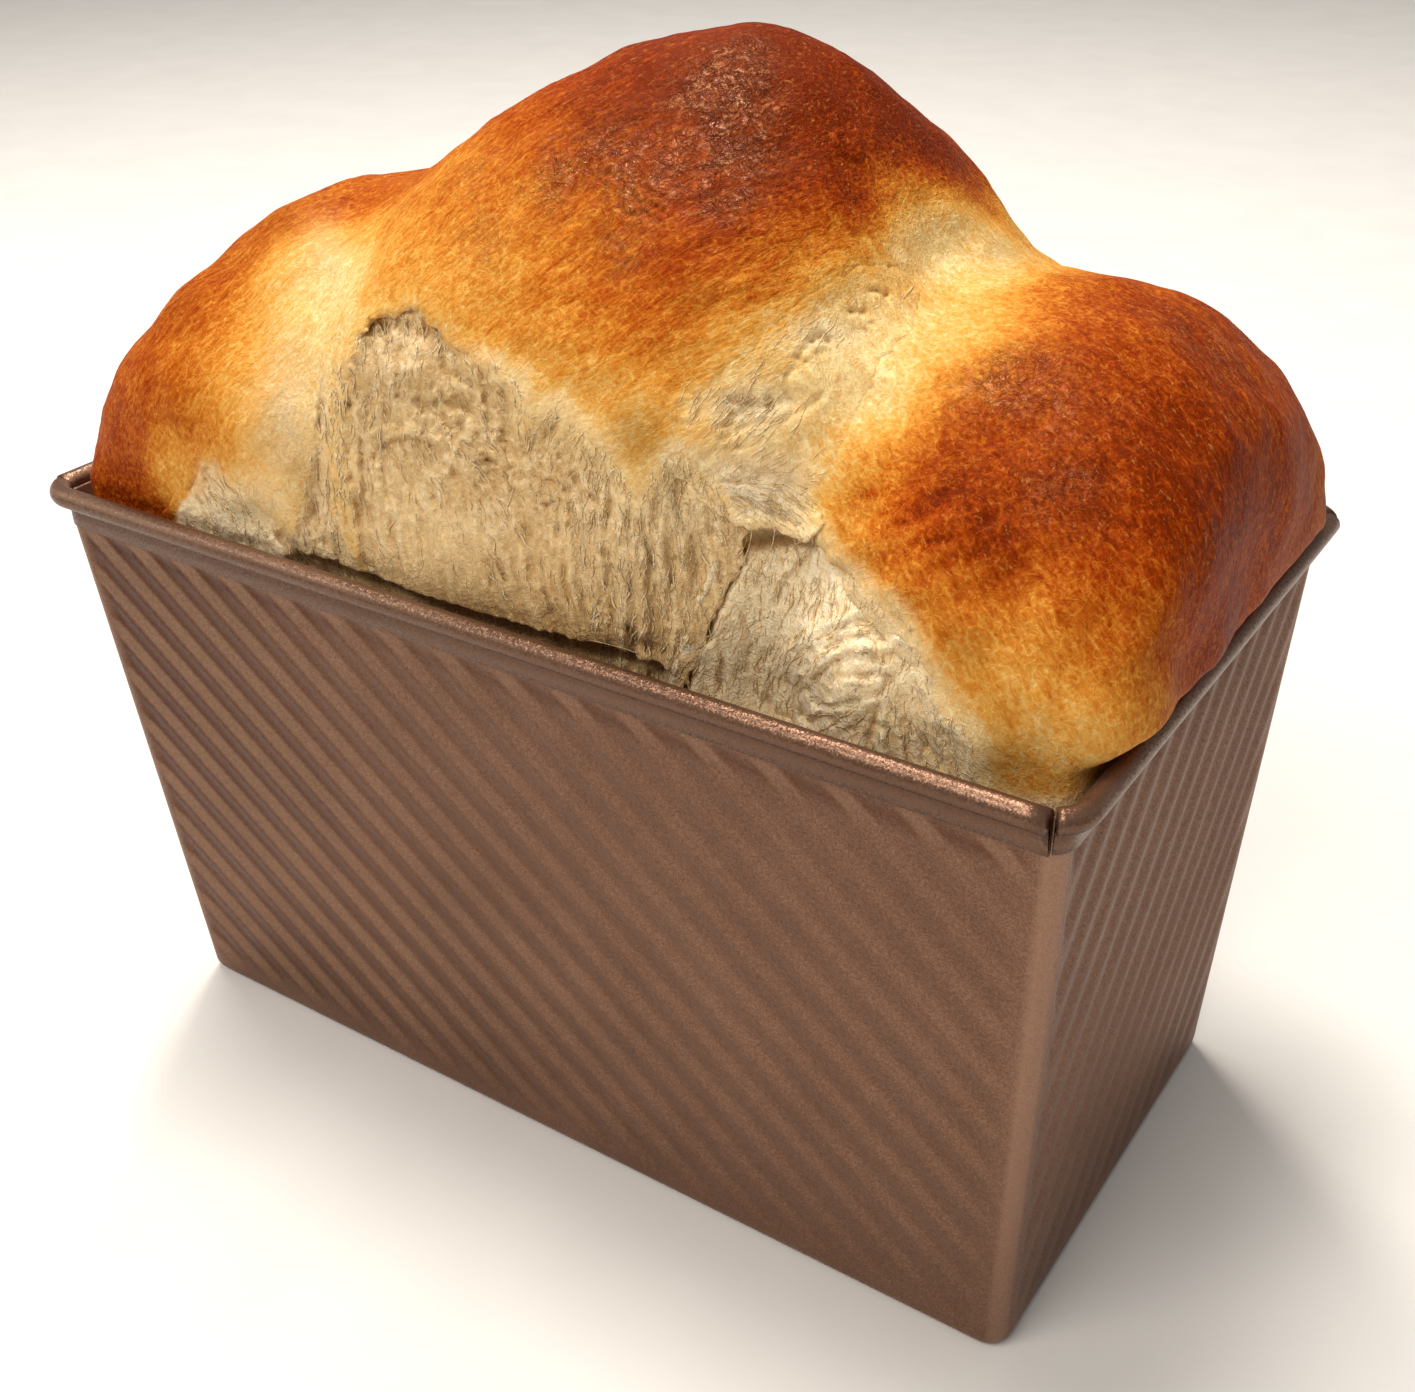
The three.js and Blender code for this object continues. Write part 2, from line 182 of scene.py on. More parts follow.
PALE = Region([
    (1000, 190), (986, 210), (953, 209), (916, 213), (897, 224), (880, 240), (874, 262), (852, 280), (800, 300), (752, 330), (716, 372), (690, 420),
    (660, 470), (640, 540), (800, 560), (822, 500), (840, 450), (866, 400), (900, 350), (950, 300), (1010, 275), (1075, 268), (1060, 240)])

# ------------------------------------------------------- form of the loaf
TL, TW, TH, BL, BW = 196.0, 106.7, 107.4, 187.0, 92.0
BLEND = 18.6
LOBES = [
    dict(c=(-58.65, -8.22, 112.26), r=(38.39, 39.78, 55.85, 51.85), n=2.69, m=1.59, yaw=-17.66),
    dict(c=(13.08, 4.70, 135.28), r=(74.37, 43.89, 58.03, 57.82), n=2.68, m=1.61, yaw=4.19),
    dict(c=(68.52, 4.63, 115.37), r=(35.05, 43.82, 56.54, 47.58), n=2.57, m=1.77, yaw=12.28),
    dict(c=(-62.0, 20.0, 98.0), r=(36.0, 40.0, 34.0, 38.0), n=3.0, m=2.0, yaw=0.0),
]


def half_at(z):
    k = np.clip(z / TH, 0, 1)
    return (BL + (TL - BL) * k) / 2, (BW + (TW - BW) * k) / 2


def smin(a, b, k):
    h = np.clip(0.5 + 0.5 * (b - a) / k, 0, 1)
    return b + (a - b) * h - k * h * (1 - h)


def smax(a, b, k):
    return -smin(-a, -b, k)


def lobe(x, y, z, l):
    a = math.radians(l["yaw"])
    ca, sa = math.cos(a), math.sin(a)
    x = x - l["c"][0]; y = y - l["c"][1]; z = np.maximum(z - l["c"][2], 0)
    qx = ca * x + sa * y; qy = -sa * x + ca * y
    r = l["r"]
    u = np.abs(qx) / np.where(qx < 0, F(r[0]), F(r[1])) + F(1e-6)
    v = np.abs(qy) / r[2] + F(1e-6)
    w = z / r[3] + F(1e-6)
    n, e = l["n"], l["m"]
    g = (u ** n + v ** n) ** (1 / n)
    f = (g ** e + w ** e) ** (1 / e)
    q = np.sqrt(qx * qx + qy * qy + z * z)
    return (f - 1) * np.clip(q / np.maximum(f, 1e-6), 20, 80)


def rbox(x, y, hx, hy, r):
    qx = np.abs(x) - (hx - r); qy = np.abs(y) - (hy - r)
    return np.hypot(np.maximum(qx, 0), np.maximum(qy, 0)) + np.minimum(np.maximum(qx, qy), 0) - r


def form(x, y, z):
    """distance-like field of the whole loaf, below zero inside, in mm"""
    front = ss(-30, -46, y) * ss(158, 140, z)
    k = lerp(F(BLEND), F(9.0), front)
    d = None
    for l in LOBES:
        e = lobe(x, y, z, l)
        d = e if d is None else smin(d, e, k)
    d = smin(d, z - 104.0, 8.0)
    hx, hy = half_at(z)
    lean_x = 6.0 * ss(114.4, 119.5, z)
    lean_y = 5.0 * ss(114.8, 122, z)
    lim = rbox(x, y, hx - 1.75 + lean_x, hy - 1.75 + lean_y, F(7.0))
    # low on the torn face the loaf draws back from the tin's wall
    back = 5.5 * ss(-46, -38, x) * ss(37, 29, x) * ss(95, 104, z) * ss(114.5, 112, z)
    back = back + 1.0 * ss(-92, -86, x) * ss(-40, -50, x) * ss(98, 105, z) * ss(117, 113, z)
    lim = np.maximum(lim, -y - (hy - 1.75) + back)
    return smax(d, lim, lerp(F(3.0), F(6.0), ss(114, 126, z)))


def form_at(P):
    return form(P[:, 0], P[:, 1], P[:, 2])


# --------------------------------------------------------- surface meshes
def surface(Fv, xs, ys, zs):
    """closed surface where the sampled field passes zero: vertices in mm, and quads"""
    big = F(1e-3)
    for s in (np.s_[0], np.s_[-1], np.s_[:, 0], np.s_[:, -1], np.s_[:, :, 0], np.s_[:, :, -1]):
        Fv[s] = np.maximum(Fv[s], big)
    S = Fv < 0
    n = Fv.shape
    cnr = np.zeros([k - 1 for k in n], np.int8)
    for a in (0, 1):
        for b in (0, 1):
            for c in (0, 1):
                cnr += S[a:n[0] - 1 + a, b:n[1] - 1 + b, c:n[2] - 1 + c]
    act = (cnr > 0) & (cnr < 8)
    idx = np.full(act.shape, -1, np.int32)
    cells = np.argwhere(act)
    idx[act] = np.arange(len(cells), dtype=np.int32)
    ax = (np.asarray(xs, F), np.asarray(ys, F), np.asarray(zs, F))
    acc = np.zeros((len(cells), 3), F); cnt = np.zeros(len(cells), F)
    flat = Fv.reshape(-1)
    stride = (n[1] * n[2], n[2], 1)
    for k in range(3):
        o = [j for j in range(3) if j != k]
        for da in (0, 1):
            for db in (0, 1):
                c0 = cells.copy(); c0[:, o[0]] += da; c0[:, o[1]] += db
                i0 = c0[:, 0] * stride[0] + c0[:, 1] * stride[1] + c0[:, 2]
                f0 = flat[i0]; f1 = flat[i0 + stride[k]]
                m = (f0 < 0) != (f1 < 0)
                c0 = c0[m]; f0 = f0[m]; f1 = f1[m]
                t = f0 / (f0 - f1)
                p = np.stack([ax[j][c0[:, j]] for j in range(3)], 1)
                p[:, k] += t * (ax[k][c0[:, k] + 1] - ax[k][c0[:, k]])
                acc[m] += p; cnt[m] += 1
    V = acc / cnt[:, None]
    quads = []
    for k in range(3):
        o = [j for j in range(3) if j != k]
        s0 = [slice(None)] * 3; s1 = [slice(None)] * 3
        s0[k] = slice(0, -1); s1[k] = slice(1, None)
        for j in o:
            s0[j] = slice(1, -1); s1[j] = slice(1, -1)
        a = S[tuple(s0)]; b = S[tuple(s1)]
        e = np.argwhere(a != b)
        first = a[tuple(e.T)]
        g = e.copy(); g[:, o[0]] += 1; g[:, o[1]] += 1

        def cell(d0, d1):
            c = g.copy(); c[:, o[0]] += d0; c[:, o[1]] += d1
            return idx[tuple(c.T)]

        q = np.stack([cell(-1, -1), cell(0, -1), cell(0, 0), cell(-1, 0)], 1)
        flip = first if k != 1 else ~first
        quads.append(np.where(flip[:, None], q, q[:, ::-1]))
    return V, np.concatenate(quads)


def sample(fn, xs, ys, zs, step=12):
    out = np.empty((len(xs), len(ys), len(zs)), F)
    ys = np.asarray(ys, F); zs = np.asarray(zs, F)
    for i in range(0, len(xs), step):
        X, Y, Z = np.meshgrid(np.asarray(xs[i:i + step], F), ys, zs, indexing="ij")
        out[i:i + step] = fn(X, Y, Z)
    return out


def normals_of(V, Q):
    a = V[Q[:, 2]] - V[Q[:, 0]]; b = V[Q[:, 3]] - V[Q[:, 1]]
    n = np.cross(a, b)
    out = np.zeros_like(V)
    for k in range(4):
        for c in range(3):
            out[:, c] += np.bincount(Q[:, k], n[:, c], len(V)).astype(V.dtype)
    return out / (np.linalg.norm(out, axis=1, keepdims=True) + 1e-12)


def make_mesh(name, V, faces, smooth=True, attrs=None):
    """faces: one array of quads or triangles, or a list of such arrays"""
    if isinstance(faces, np.ndarray):
        faces = [faces]
    me = bpy.data.meshes.new(name)
    loops = np.concatenate([f.reshape(-1) for f in faces]).astype(np.int32)
    sizes = np.concatenate([np.full(len(f), f.shape[1], np.int32) for f in faces])
    starts = np.concatenate([[0], np.cumsum(sizes)[:-1]]).astype(np.int32)
    me.vertices.add(len(V)); me.loops.add(len(loops)); me.polygons.add(len(sizes))
    me.vertices.foreach_set("co", (np.asarray(V, F) * F(MM)).reshape(-1))
    me.loops.foreach_set("vertex_index", loops)
    me.polygons.foreach_set("loop_start", starts)
    me.polygons.foreach_set("loop_total", sizes)
    me.update(calc_edges=True)
    me.polygons.foreach_set("use_smooth", np.full(len(sizes), smooth))
    for k, v in (attrs or {}).items():
        v = np.asarray(v, F)
        if v.ndim == 1:
            at = me.attributes.new(k, "FLOAT", "POINT"); at.data.foreach_set("value", v)
        elif v.shape[1] == 3:
            at = me.attributes.new(k, "FLOAT_VECTOR", "POINT"); at.data.foreach_set("vector", v.reshape(-1))
    me.validate()
    ob = bpy.data.objects.new(name, me)
    bpy.context.scene.collection.objects.link(ob)
    return ob


# ---------------------------------------------------- browning of the crust
# places on the loaf in mm, how brown the crust is there (0 pale .. 1 mahogany), and how far it reaches; the spots low
# on the right lobe's front, just above the rim, are browned more to paint the shade there
SPOTS = np.array([
    (19, -4, 191, 1.0, 14), (30, 8, 185, 1.0, 14), (38, 18, 175, .97, 12), (6, -18, 185, .98, 14), (-3, -27, 178, .58, 13),
    (-15, -34, 170, .54, 12), (-24, -40, 160, .28, 9), (-3, -42, 163, .5, 12), (12, -32, 174, .54, 6), (14, -37, 169, .6, 12), (28, -25, 177, .92, 14),
    (39, -12, 175, .96, 12), (28, -40, 162, .8, 10), (13, -44, 159, .48, 9), (38, -31, 166, .62, 9), (22, -47, 153, .28, 9),
    (35, -41, 157, .32, 9), (-2, -46, 157, .34, 7), (44, -19, 168, .24, 7), (46, 4, 168, .1, 8), (52, 19, 162, .1, 9),
    (29, -49, 147, .16, 7), (46, -28, 159, .1, 12),
    (-72, -31, 154, .68, 11), (-76, -46, 140, .68, 12), (-78, -56, 123, .8, 9), (-58, -16, 163, .66, 11), (-50, -32, 157, .2, 8),
    (-50, -47, 144, .26, 9), (-57, -54, 136, .62, 9), (-62, -56, 123, .34, 6), (-42, -52, 133, .2, 8), (-36, -43, 150, .08, 8),
    (71, 2, 163, .7, 10), (83, 16, 158, .84, 12), (97, 24, 144, .85, 12), (83, -16, 156, .8, 12), (69, -24, 154, .7, 9),
    (61, -36, 144, .6, 7), (69, -39, 143, .74, 8), (83, -32, 146, .92, 12), (97, -21, 147, .95, 13), (103, 13, 135, .8, 10),
    (92, -38, 137, .74, 11), (103, -27, 135, .82, 11), (74, -44, 136, .36, 7), (63, -42, 137, .24, 6), (84, -44, 132, .42, 8),
    (97, -41, 128, .44, 10), (81, -48, 125, .15, 8), (-68, -52, 121, .22, 4), (-66, -52, 127, .32, 4), (-54, -51, 124, .1, 5), (90, -48, 119, .14, 9), (57, -24, 154, .16, 8), (60, -10, 160, .14, 8),
    (52, -34, 149, .12, 8),
    (12, -47, 154, .1, 5), (19, -48, 151, .04, 5), (24, -47, 151, .04, 5), (28, -46, 152, .04, 5), (21, -45, 155.5, .14, 4),
    (0, -47, 155, .2, 4), (-40, -44, 147, .02, 7), (-39, -48, 141, .02, 6), (-36, -39, 154, .05, 5), (-45, -38, 153, .12, 5), (-43, -53, 131, .1, 5),
    (-48, -50, 139, .2, 4), (-20, -43, 158, .34, 6), (-29, -43, 154, .2, 4), (81, -49, 123, .34, 7), (88, -49, 118, .5, 7), (78, -47, 131, .72, 5),
    (84, -47, 127, .42, 6), (94, -46, 115, .3, 6), (58, -36, 144, .5, 4), (44, 0, 170, .3, 7), (56, 2, 168, .22, 7), (70, -33, 149, .86, 7),
    (66, -36, 147, .8, 5), (74, -44, 134, .5, 6), (1, -42, 162, .26, 5), (-9, -42, 162, .2, 5), (36, -38, 161, .12, 6), (-64, -22, 160, .68, 7),
    (69, -46, 134, .58, 4), (61, -43, 136, .6, 4), (80, -40, 140, .9, 5), (77, -43, 136, .8, 4), (51, 21, 162, .45, 8), (47, 11, 166, .6, 7),
    (21, -46, 155, .56, 4), (-55, -43, 148, .5, 5), (26, -43, 159, .66, 5), (29, -48, 151, .66, 5), (31, -36, 166, .84, 5), (31, -41, 160, .6, 4), (37, -34, 164, .62, 6), (78, -37, 144, .95, 6),
    # the far side, which browns as the near one does
    (18, 30, 184, .95, 14), (5, 46, 168, .8, 14), (0, 56, 145, .55, 14), (0, 56, 124, .3, 12), (30, 50, 160, .7, 12),
    (-25, 20, 176, .72, 14), (-30, 45, 155, .5, 13), (-70, 5, 160, .74, 14), (-80, 30, 142, .72, 13), (-75, 48, 125, .55, 12),
    (-96, 0, 130, .72, 14), (-90, -30, 135, .78, 12), (72, 35, 152, .8, 12), (74, 50, 138, .62, 12), (74, 56, 122, .4, 10),
    (46, 45, 140, .2, 9), (44, 35, 152, .15, 8), (-40, 35, 150, .3, 9), (96, 45, 130, .7, 11),
], F)


# shiny crinkled places: x, y, z, strength, reach; they get a coat, less roughness, crinkles, and a painted sheen in the
# base colour
GLOSSY = np.array([
    (19, -12, 187.5, 1.0, 8), (25, -18.5, 182, 1.0, 8), (20, -7, 189.5, .7, 6), (15, -27, 178.5, 1.0, 7), (10, -24, 181.5, .5, 6),
    (28, -25, 177, .8, 6), (2, -26, 179.5, .8, 5), (18, -34, 171.5, .5, 6), (17, -2, 191, .6, 5), (2, -30, 176, .5, 6),
    (-14, -26, 174, .3, 6), (-6, -36, 168, .4, 6), (4, 22, 187, .5, 10),
    (72, -17.5, 157.5, .6, 6), (69, -22, 155, .7, 6), (80, -20, 152, .4, 7), (84, -30, 146, .3, 7), (88, 8, 156, .4, 8), (-66, -10, 163, .3, 8),
], F)


# painted shade: places where the skin's colour is darkened towards black to stand in for shade, in picture pixels:
# centre, half widths, amount
PAINTED_SHADE_SPOTS = ((638, 436, 32, 38, .38), (1002, 745, 40, 38, .36), (958, 640, 30, 28, .28), (860, 560, 26, 20, .34), (900, 602, 26, 20, .27), (955, 232, 40, 24, .32), (1012, 246, 34, 24, .42), (680, 350, 30, 22, .14),
        (600, 380, 30, 20, .18), (540, 352, 34, 18, .20), (240, 511, 28, 14, .42), (300, 478, 20, 30, .22), (700, 300, 34, 24, .16), (480, 592, 60, 36, .18),
        (600, 118, 50, 30, .24), (430, 400, 84, 60, .12), (640, 600, 50, 44, .14), (950, 470, 34, 26, .16), (278, 222, 32, 26, .16),
        (228, 262, 30, 24, .12), (180, 300, 30, 34, .16), (280, 420, 22, 30, .16), (1000, 560, 34, 26, .16))


def painted_shade_at(u, v):
    d = 0
    for cu, cv, ru, rv, k in PAINTED_SHADE_SPOTS:
        d = np.maximum(d, k * np.exp(-(((u - cu) / ru) ** 2 + ((v - cv) / rv) ** 2)))
    return d


def browning(V):
    x, y, z = V[:, 0], V[:, 1], V[:, 2]
    wsum = np.full(len(V), 1e-4, F); bsum = np.full(len(V), 0.55e-4, F)
    for sx, sy, sz, b, r in SPOTS:
        w = np.exp(-((x - sx) ** 2 + (y - sy) ** 2 + (z - sz) ** 2) / (2 * (r * 0.8) ** 2))
        wsum += w; bsum += w * b
    return bsum / wsum


def surface_look(V, Nn):
    """per-vertex looks shared by the crust and the torn patches"""
    u, v = project(V)
    near = ss(0.02, 0.2, (Nn * ((CAM_AT - V) / np.linalg.norm(CAM_AT - V, axis=1, keepdims=True))).sum(1)).astype(F)
    near = near * ss(30, 10, V[:, 1])
    b = browning(V)
    x, y, z = V.T
    rag = 5 * N1(u / 9, v / 9, z * 0) + 3 * N2(u / 4, v / 4, z * 0)
    pale = PALE(u, v) + rag * 1.6 + 12 * N4(u / 40, v / 40, z * 0)
    pale = ss(34, -30, pale) * near
    b = lerp(b, b * 0.3, pale)
    # torn crumb
    cm, cr, cl, va = (R(u, v) + rag * 0.5 for R in (CRUMB_M, CRUMB_R, CRUMB_L, VALLEY))
    soft = soft_left(u, v)
    cl = lerp(ss(3, -4, cl), ss(6, -24, cl) * 0.9, soft)
    cm_ = lerp(ss(4, -3, cm), ss(12, -32, cm), soft_middle(u, v))
    cr_ = lerp(ss(2, -3, cr), ss(8, -10, cr), soft_right(u, v))
    crumb = np.maximum(np.maximum(cm_, cr_), cl) * (y < -20)
    # the skin pales towards a tear
    rim = np.minimum(cm, np.where(u > 700, cr, 99))
    away = 1 - 0.85 * np.clip(blob(u, v, 634, 440, 34, 56), 0, 1)
    b = b * lerp(1.0, 0.3, ss(30, 2, rim) * (0.35 + 0.65 * ss(440, 520, u)) * (y < -20) * away)
    crumb = np.maximum(crumb, 0.5 * ss(18, 1, rim) * (y < -20) * ss(430, 500, u) * near * away)
    band = np.maximum(0.75 * blob(u, v, 288, 430, 26, 60), 0.4 * blob(u, v, 325, 262, 22, 34))
    band = np.maximum(band, 0.8 * blob(u, v, 258, 506, 40, 32)) * (1 + 0.3 * N4(u / 10, v / 14, z * 0))
    crumb = np.maximum(crumb, band * near)
    crumb = np.maximum(crumb, (0.45 + 0.3 * N4(u / 9, v / 9, z * 0)) * ss(26, 4, cr) * ss(800, 840, u) * near)
    seam = ss(3, -3, SEAM(u, v) + rag * 0.5) * (y < -20)
    torn = np.clip(ss(430, 500, v) * ss(830, 770, u) + 0.7 * blob(u, v, 752, 408, 40, 20) + 0.4 * blob(u, v, 825, 335, 34, 16), 0, 1)
    crumb = np.maximum(np.maximum(crumb, seam), 0.92 * torn * ss(4, -22, va) * near)
    b = np.clip(b + 0.5 * groove_at(u, v) * ss(30, 16, y), 0, 1)
    # inside the tin and low in the creases the side is pale
    crumb = np.maximum(crumb, ss(113, 110, z))
    return b.astype(F), crumb.astype(F), gloss_at(V).astype(F), (painted_shade_at(u, v) * near).astype(F)


def gloss_at(V):
    """where the crust is shiny and crinkled, 0..1"""
    x, y, z = V.T
    g = 0
    for sx, sy, sz, w, r in GLOSSY:
        g = g + w * np.exp(-((x - sx) ** 2 + (y - sy) ** 2 + (z - sz) ** 2) / (2 * (r * 0.6) ** 2))
    ragged = 0.75 + 0.6 * N3(x / 3.1, y / 3.1, z / 3.1) + 0.35 * N4(x / 1.4, y / 1.4, z / 1.4)
    return np.clip(g * ragged, 0, 1)


# --------------------------------------------------------------- the crust
# finely wrinkled places that get a denser mesh: centre and reach in mm
FINE = (((14.0, -14.0, 180.0), 33.0), ((82.0, -30.0, 146.0), 25.0))
# grooves pressed into the right lobe, in picture pixels: two ends, half width, depth in mm
GROOVES = ((826, 503, 912, 486, 8, .20), (880, 536, 962, 488, 8, .30), (888, 558, 988, 522, 8, .34), (918, 576, 1010, 535, 9, .24),
           (905, 508, 950, 490, 6, .16), (860, 520, 905, 505, 6, .16), (948, 600, 1020, 566, 9, .14), (700, 352, 760, 330, 7, .12))


def groove_at(u, v):
    """how deep the pressed grooves run, in mm"""
    g = 0
    for ax, ay, bx, by, w, dep in GROOVES:
        ex, ey = bx - ax, by - ay
        t = ((u - ax) * ex + (v - ay) * ey) / (ex * ex + ey * ey)
        d2 = (u - ax - ex * np.clip(t, 0, 1)) ** 2 + (v - ay - ey * np.clip(t, 0, 1)) ** 2
        g = g + dep * np.exp(-d2 / (w * w)) * (0.8 + 0.5 * N4(u / 9, v / 9, v * 0))
    return g


def ring(x, y, z, c, r, w, h):
    q = np.sqrt((x - c[0]) ** 2 + (y - c[1]) ** 2 + (z - c[2]) ** 2)
    return h * np.exp(-((q - r) / w) ** 2) - 0.6 * h * np.exp(-((q - r - 2.2 * w) / w) ** 2)


def crust_relief(x, y, z):
    """wrinkles, dimples and small blisters standing on the crust, in mm"""
    P = np.stack([x, y, z], 1)
    u, v = project(P)
    near = ss(30, 16, y)
    wx = x + 1.4 * N3(x / 4, y / 4, z / 4); wz = z + 1.4 * N5(x / 4, y / 4, z / 4)
    g = gloss_at(P)
    fold = ridge(N1(wx / 2.6, y / 2.6, wz / 2.6)) + 0.6 * ridge(N2(wx / 1.5, y / 1.5, wz / 1.5))
    r = 0.42 * g * (fold - 0.45)
    r = r + 0.16 * N4(x / 3.2, y / 3.2, z / 3.2) + 0.10 * N5(x / 1.7, y / 1.7, z / 1.7)
    # fine arcs of wrinkles below the shiny crown
    q = np.hypot(u - 735, (v - 95) * 1.15) + 7 * N4(u / 24, v / 24, v * 0)
    arc = ss(118, 134, q) * ss(186, 168, q) * ss(692, 650, u) * ss(548, 575, u) * ss(280, 262, v) * ss(150, 180, v)
    r = r + 0.34 * arc * np.sin(q / 2.5) * near
    r = r - groove_at(u, v) * near
    r = r + ring(x, y, z, (35.5, -3.2, 180.2), 2.3, 0.42, 0.34)
    half = ss(-0.6, 0.6, (z - 182.8) - 0.5 * (x - 1.1))
    r = r + ring(x, y, z, (1.1, -21.0, 182.8), 2.7, 0.4, 0.36) * half
    return r + ring(x, y, z, (33.9, -44.2, 153.1), 1.6, 0.34, 0.3)


def bulk(x, y, z):
    return (0.9 * N1(x / 14, y / 14, z / 14) + 0.5 * N2(x / 6.5, y / 6.5, z / 6.5)) * ss(112, 120, z)


def fine_edge(x, y, z, c, r):
    """distance outside one of the finely wrinkled places, in mm, with a wandering border"""
    return np.sqrt((x - c[0]) ** 2 + (y - c[1]) ** 2 + (z - c[2]) ** 2) - r + 2.5 * N3(x / 9, y / 9, z / 9)


def torn_recess(x, y, z):
    """how far the crust's mesh lies back under the torn patches"""
    u, v = project(np.stack([x, y, z], 1))
    rag = 4 * N1(u / 9, v / 9, v * 0) + 2 * N2(u / 4, v / 4, v * 0)
    cl = CRUMB_L(u, v) + rag
    k = soft_left(u, v)
    w = lerp(ss(2.0, -2.0, cl), ss(-8.0, -18.0, cl), k) * 4.0
    w = np.maximum(w, ss(2.0, -2.0, SEAM(u, v) + rag) * 5.0)
    for R, soft in ((CRUMB_M, soft_middle), (CRUMB_R, soft_right)):
        s = R(u, v) + rag
        w = np.maximum(w, lerp(ss(2.0, -2.0, s), ss(-8.0, -18.0, s), soft(u, v)) * 5.0)
    w = np.maximum(w, ss(-8.0, -18.0, VALLEY(u, v) + rag) * 3.5)
    w = w * (y < -4)
    for c, r in FINE:
        w = np.maximum(w, ss(-2.0, -4.5, fine_edge(x, y, z, c, r)) * 3.0)
    return w


def crust_field(x, y, z):
    d = form(x, y, z)
    d = d + bulk(x, y, z)
    idx = np.nonzero((np.abs(d) < 9) & (z > 100))
    if len(idx[0]):
        X, Y, Z = x[idx], y[idx], z[idx]
        d[idx] += torn_recess(X, Y, Z) - crust_relief(X, Y, Z) * ss(112, 118, Z)
    return np.maximum(d, 1.2 - z)


def make_crust():
    h = 0.95
    xs = np.arange(-103.5, 106.5, h); ys = np.arange(-62, 62.5, h)
    zs = np.concatenate([[0.4, 1.4, 3.0, 6.0], np.arange(14, 96, 12), np.arange(98, 197, h)])
    Fv = sample(crust_field, xs, ys, zs)
    V, Q = surface(Fv, xs, ys, zs)
    return V, Q


def bubbles(Q, least=60):
    """the faces of small bubbles, which are loose or hang on the rest by a corner or by an edge that more than two faces share"""
    e = np.sort(np.concatenate([Q[:, [0, 1]], Q[:, [1, 2]], Q[:, [2, 3]], Q[:, [3, 0]]]).astype(np.int64), axis=1)
    key = e[:, 0] * (int(Q.max()) + 1) + e[:, 1]
    order = np.argsort(key, kind="stable")
    key, face = key[order], order % len(Q)
    start = np.nonzero(np.concatenate([[True], key[1:] != key[:-1]]))[0]
    two = start[np.diff(np.concatenate([start, [len(key)]])) == 2]
    a, b = face[two], face[two + 1]
    lab = np.arange(len(Q))
    for _ in range(500):
        la, lb = lab[a], lab[b]
        lo = np.minimum(la, lb)
        new = lab.copy()
        np.minimum.at(new, la, lo); np.minimum.at(new, lb, lo)
        np.minimum.at(new, a, lo); np.minimum.at(new, b, lo)
        new = new[new]
        if (new == lab).all():
            break
        lab = new
    return np.bincount(lab, minlength=len(Q))[lab] < least


def cut_and_cap(V, Q, keep, centre, attrs=None):
    """keeps the faces whose corners are all kept, and closes the rest with a fan to a point inside"""
    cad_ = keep[Q].all(1)
    Q = Q[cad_]
    Q = Q[~bubbles(Q)]
    # boundary edges, in the direction their own face runs
    e = np.concatenate([Q[:, [0, 1]], Q[:, [1, 2]], Q[:, [2, 3]], Q[:, [3, 0]]])
    n = len(V)
    key = e[:, 0].astype(np.int64) * n + e[:, 1]
    rev = e[:, 1].astype(np.int64) * n + e[:, 0]
    lone = ~np.isin(key, rev)
    b = e[lone]
    used = np.zeros(n, bool); used[Q.reshape(-1)] = True
    remap = np.cumsum(used) - 1
    V2 = np.concatenate([V[used], np.array([centre], F)])
    c = len(V2) - 1
    Q2 = remap[Q]
    T = np.stack([remap[b[:, 1]], remap[b[:, 0]], np.full(len(b), c)], 1)
    return V2, Q2, T, used


def biggest(V, Q, least=400):
    """drops loose scraps of fewer than `least` corners"""
    n = len(V)
    lab = np.arange(n)
    e = np.concatenate([Q[:, [0, 1]], Q[:, [1, 2]], Q[:, [2, 3]], Q[:, [3, 0]]])
    for _ in range(200):
        a, b = lab[e[:, 0]], lab[e[:, 1]]
        lo = np.minimum(a, b)
        new = lab.copy()
        np.minimum.at(new, e[:, 0], lo); np.minimum.at(new, e[:, 1], lo)
        np.minimum.at(new, a, lo); np.minimum.at(new, b, lo)
        new = new[new]
        if (new == lab).all():
            break
        lab = new
    cnt = np.bincount(lab, minlength=n)
    return cnt[lab] >= least


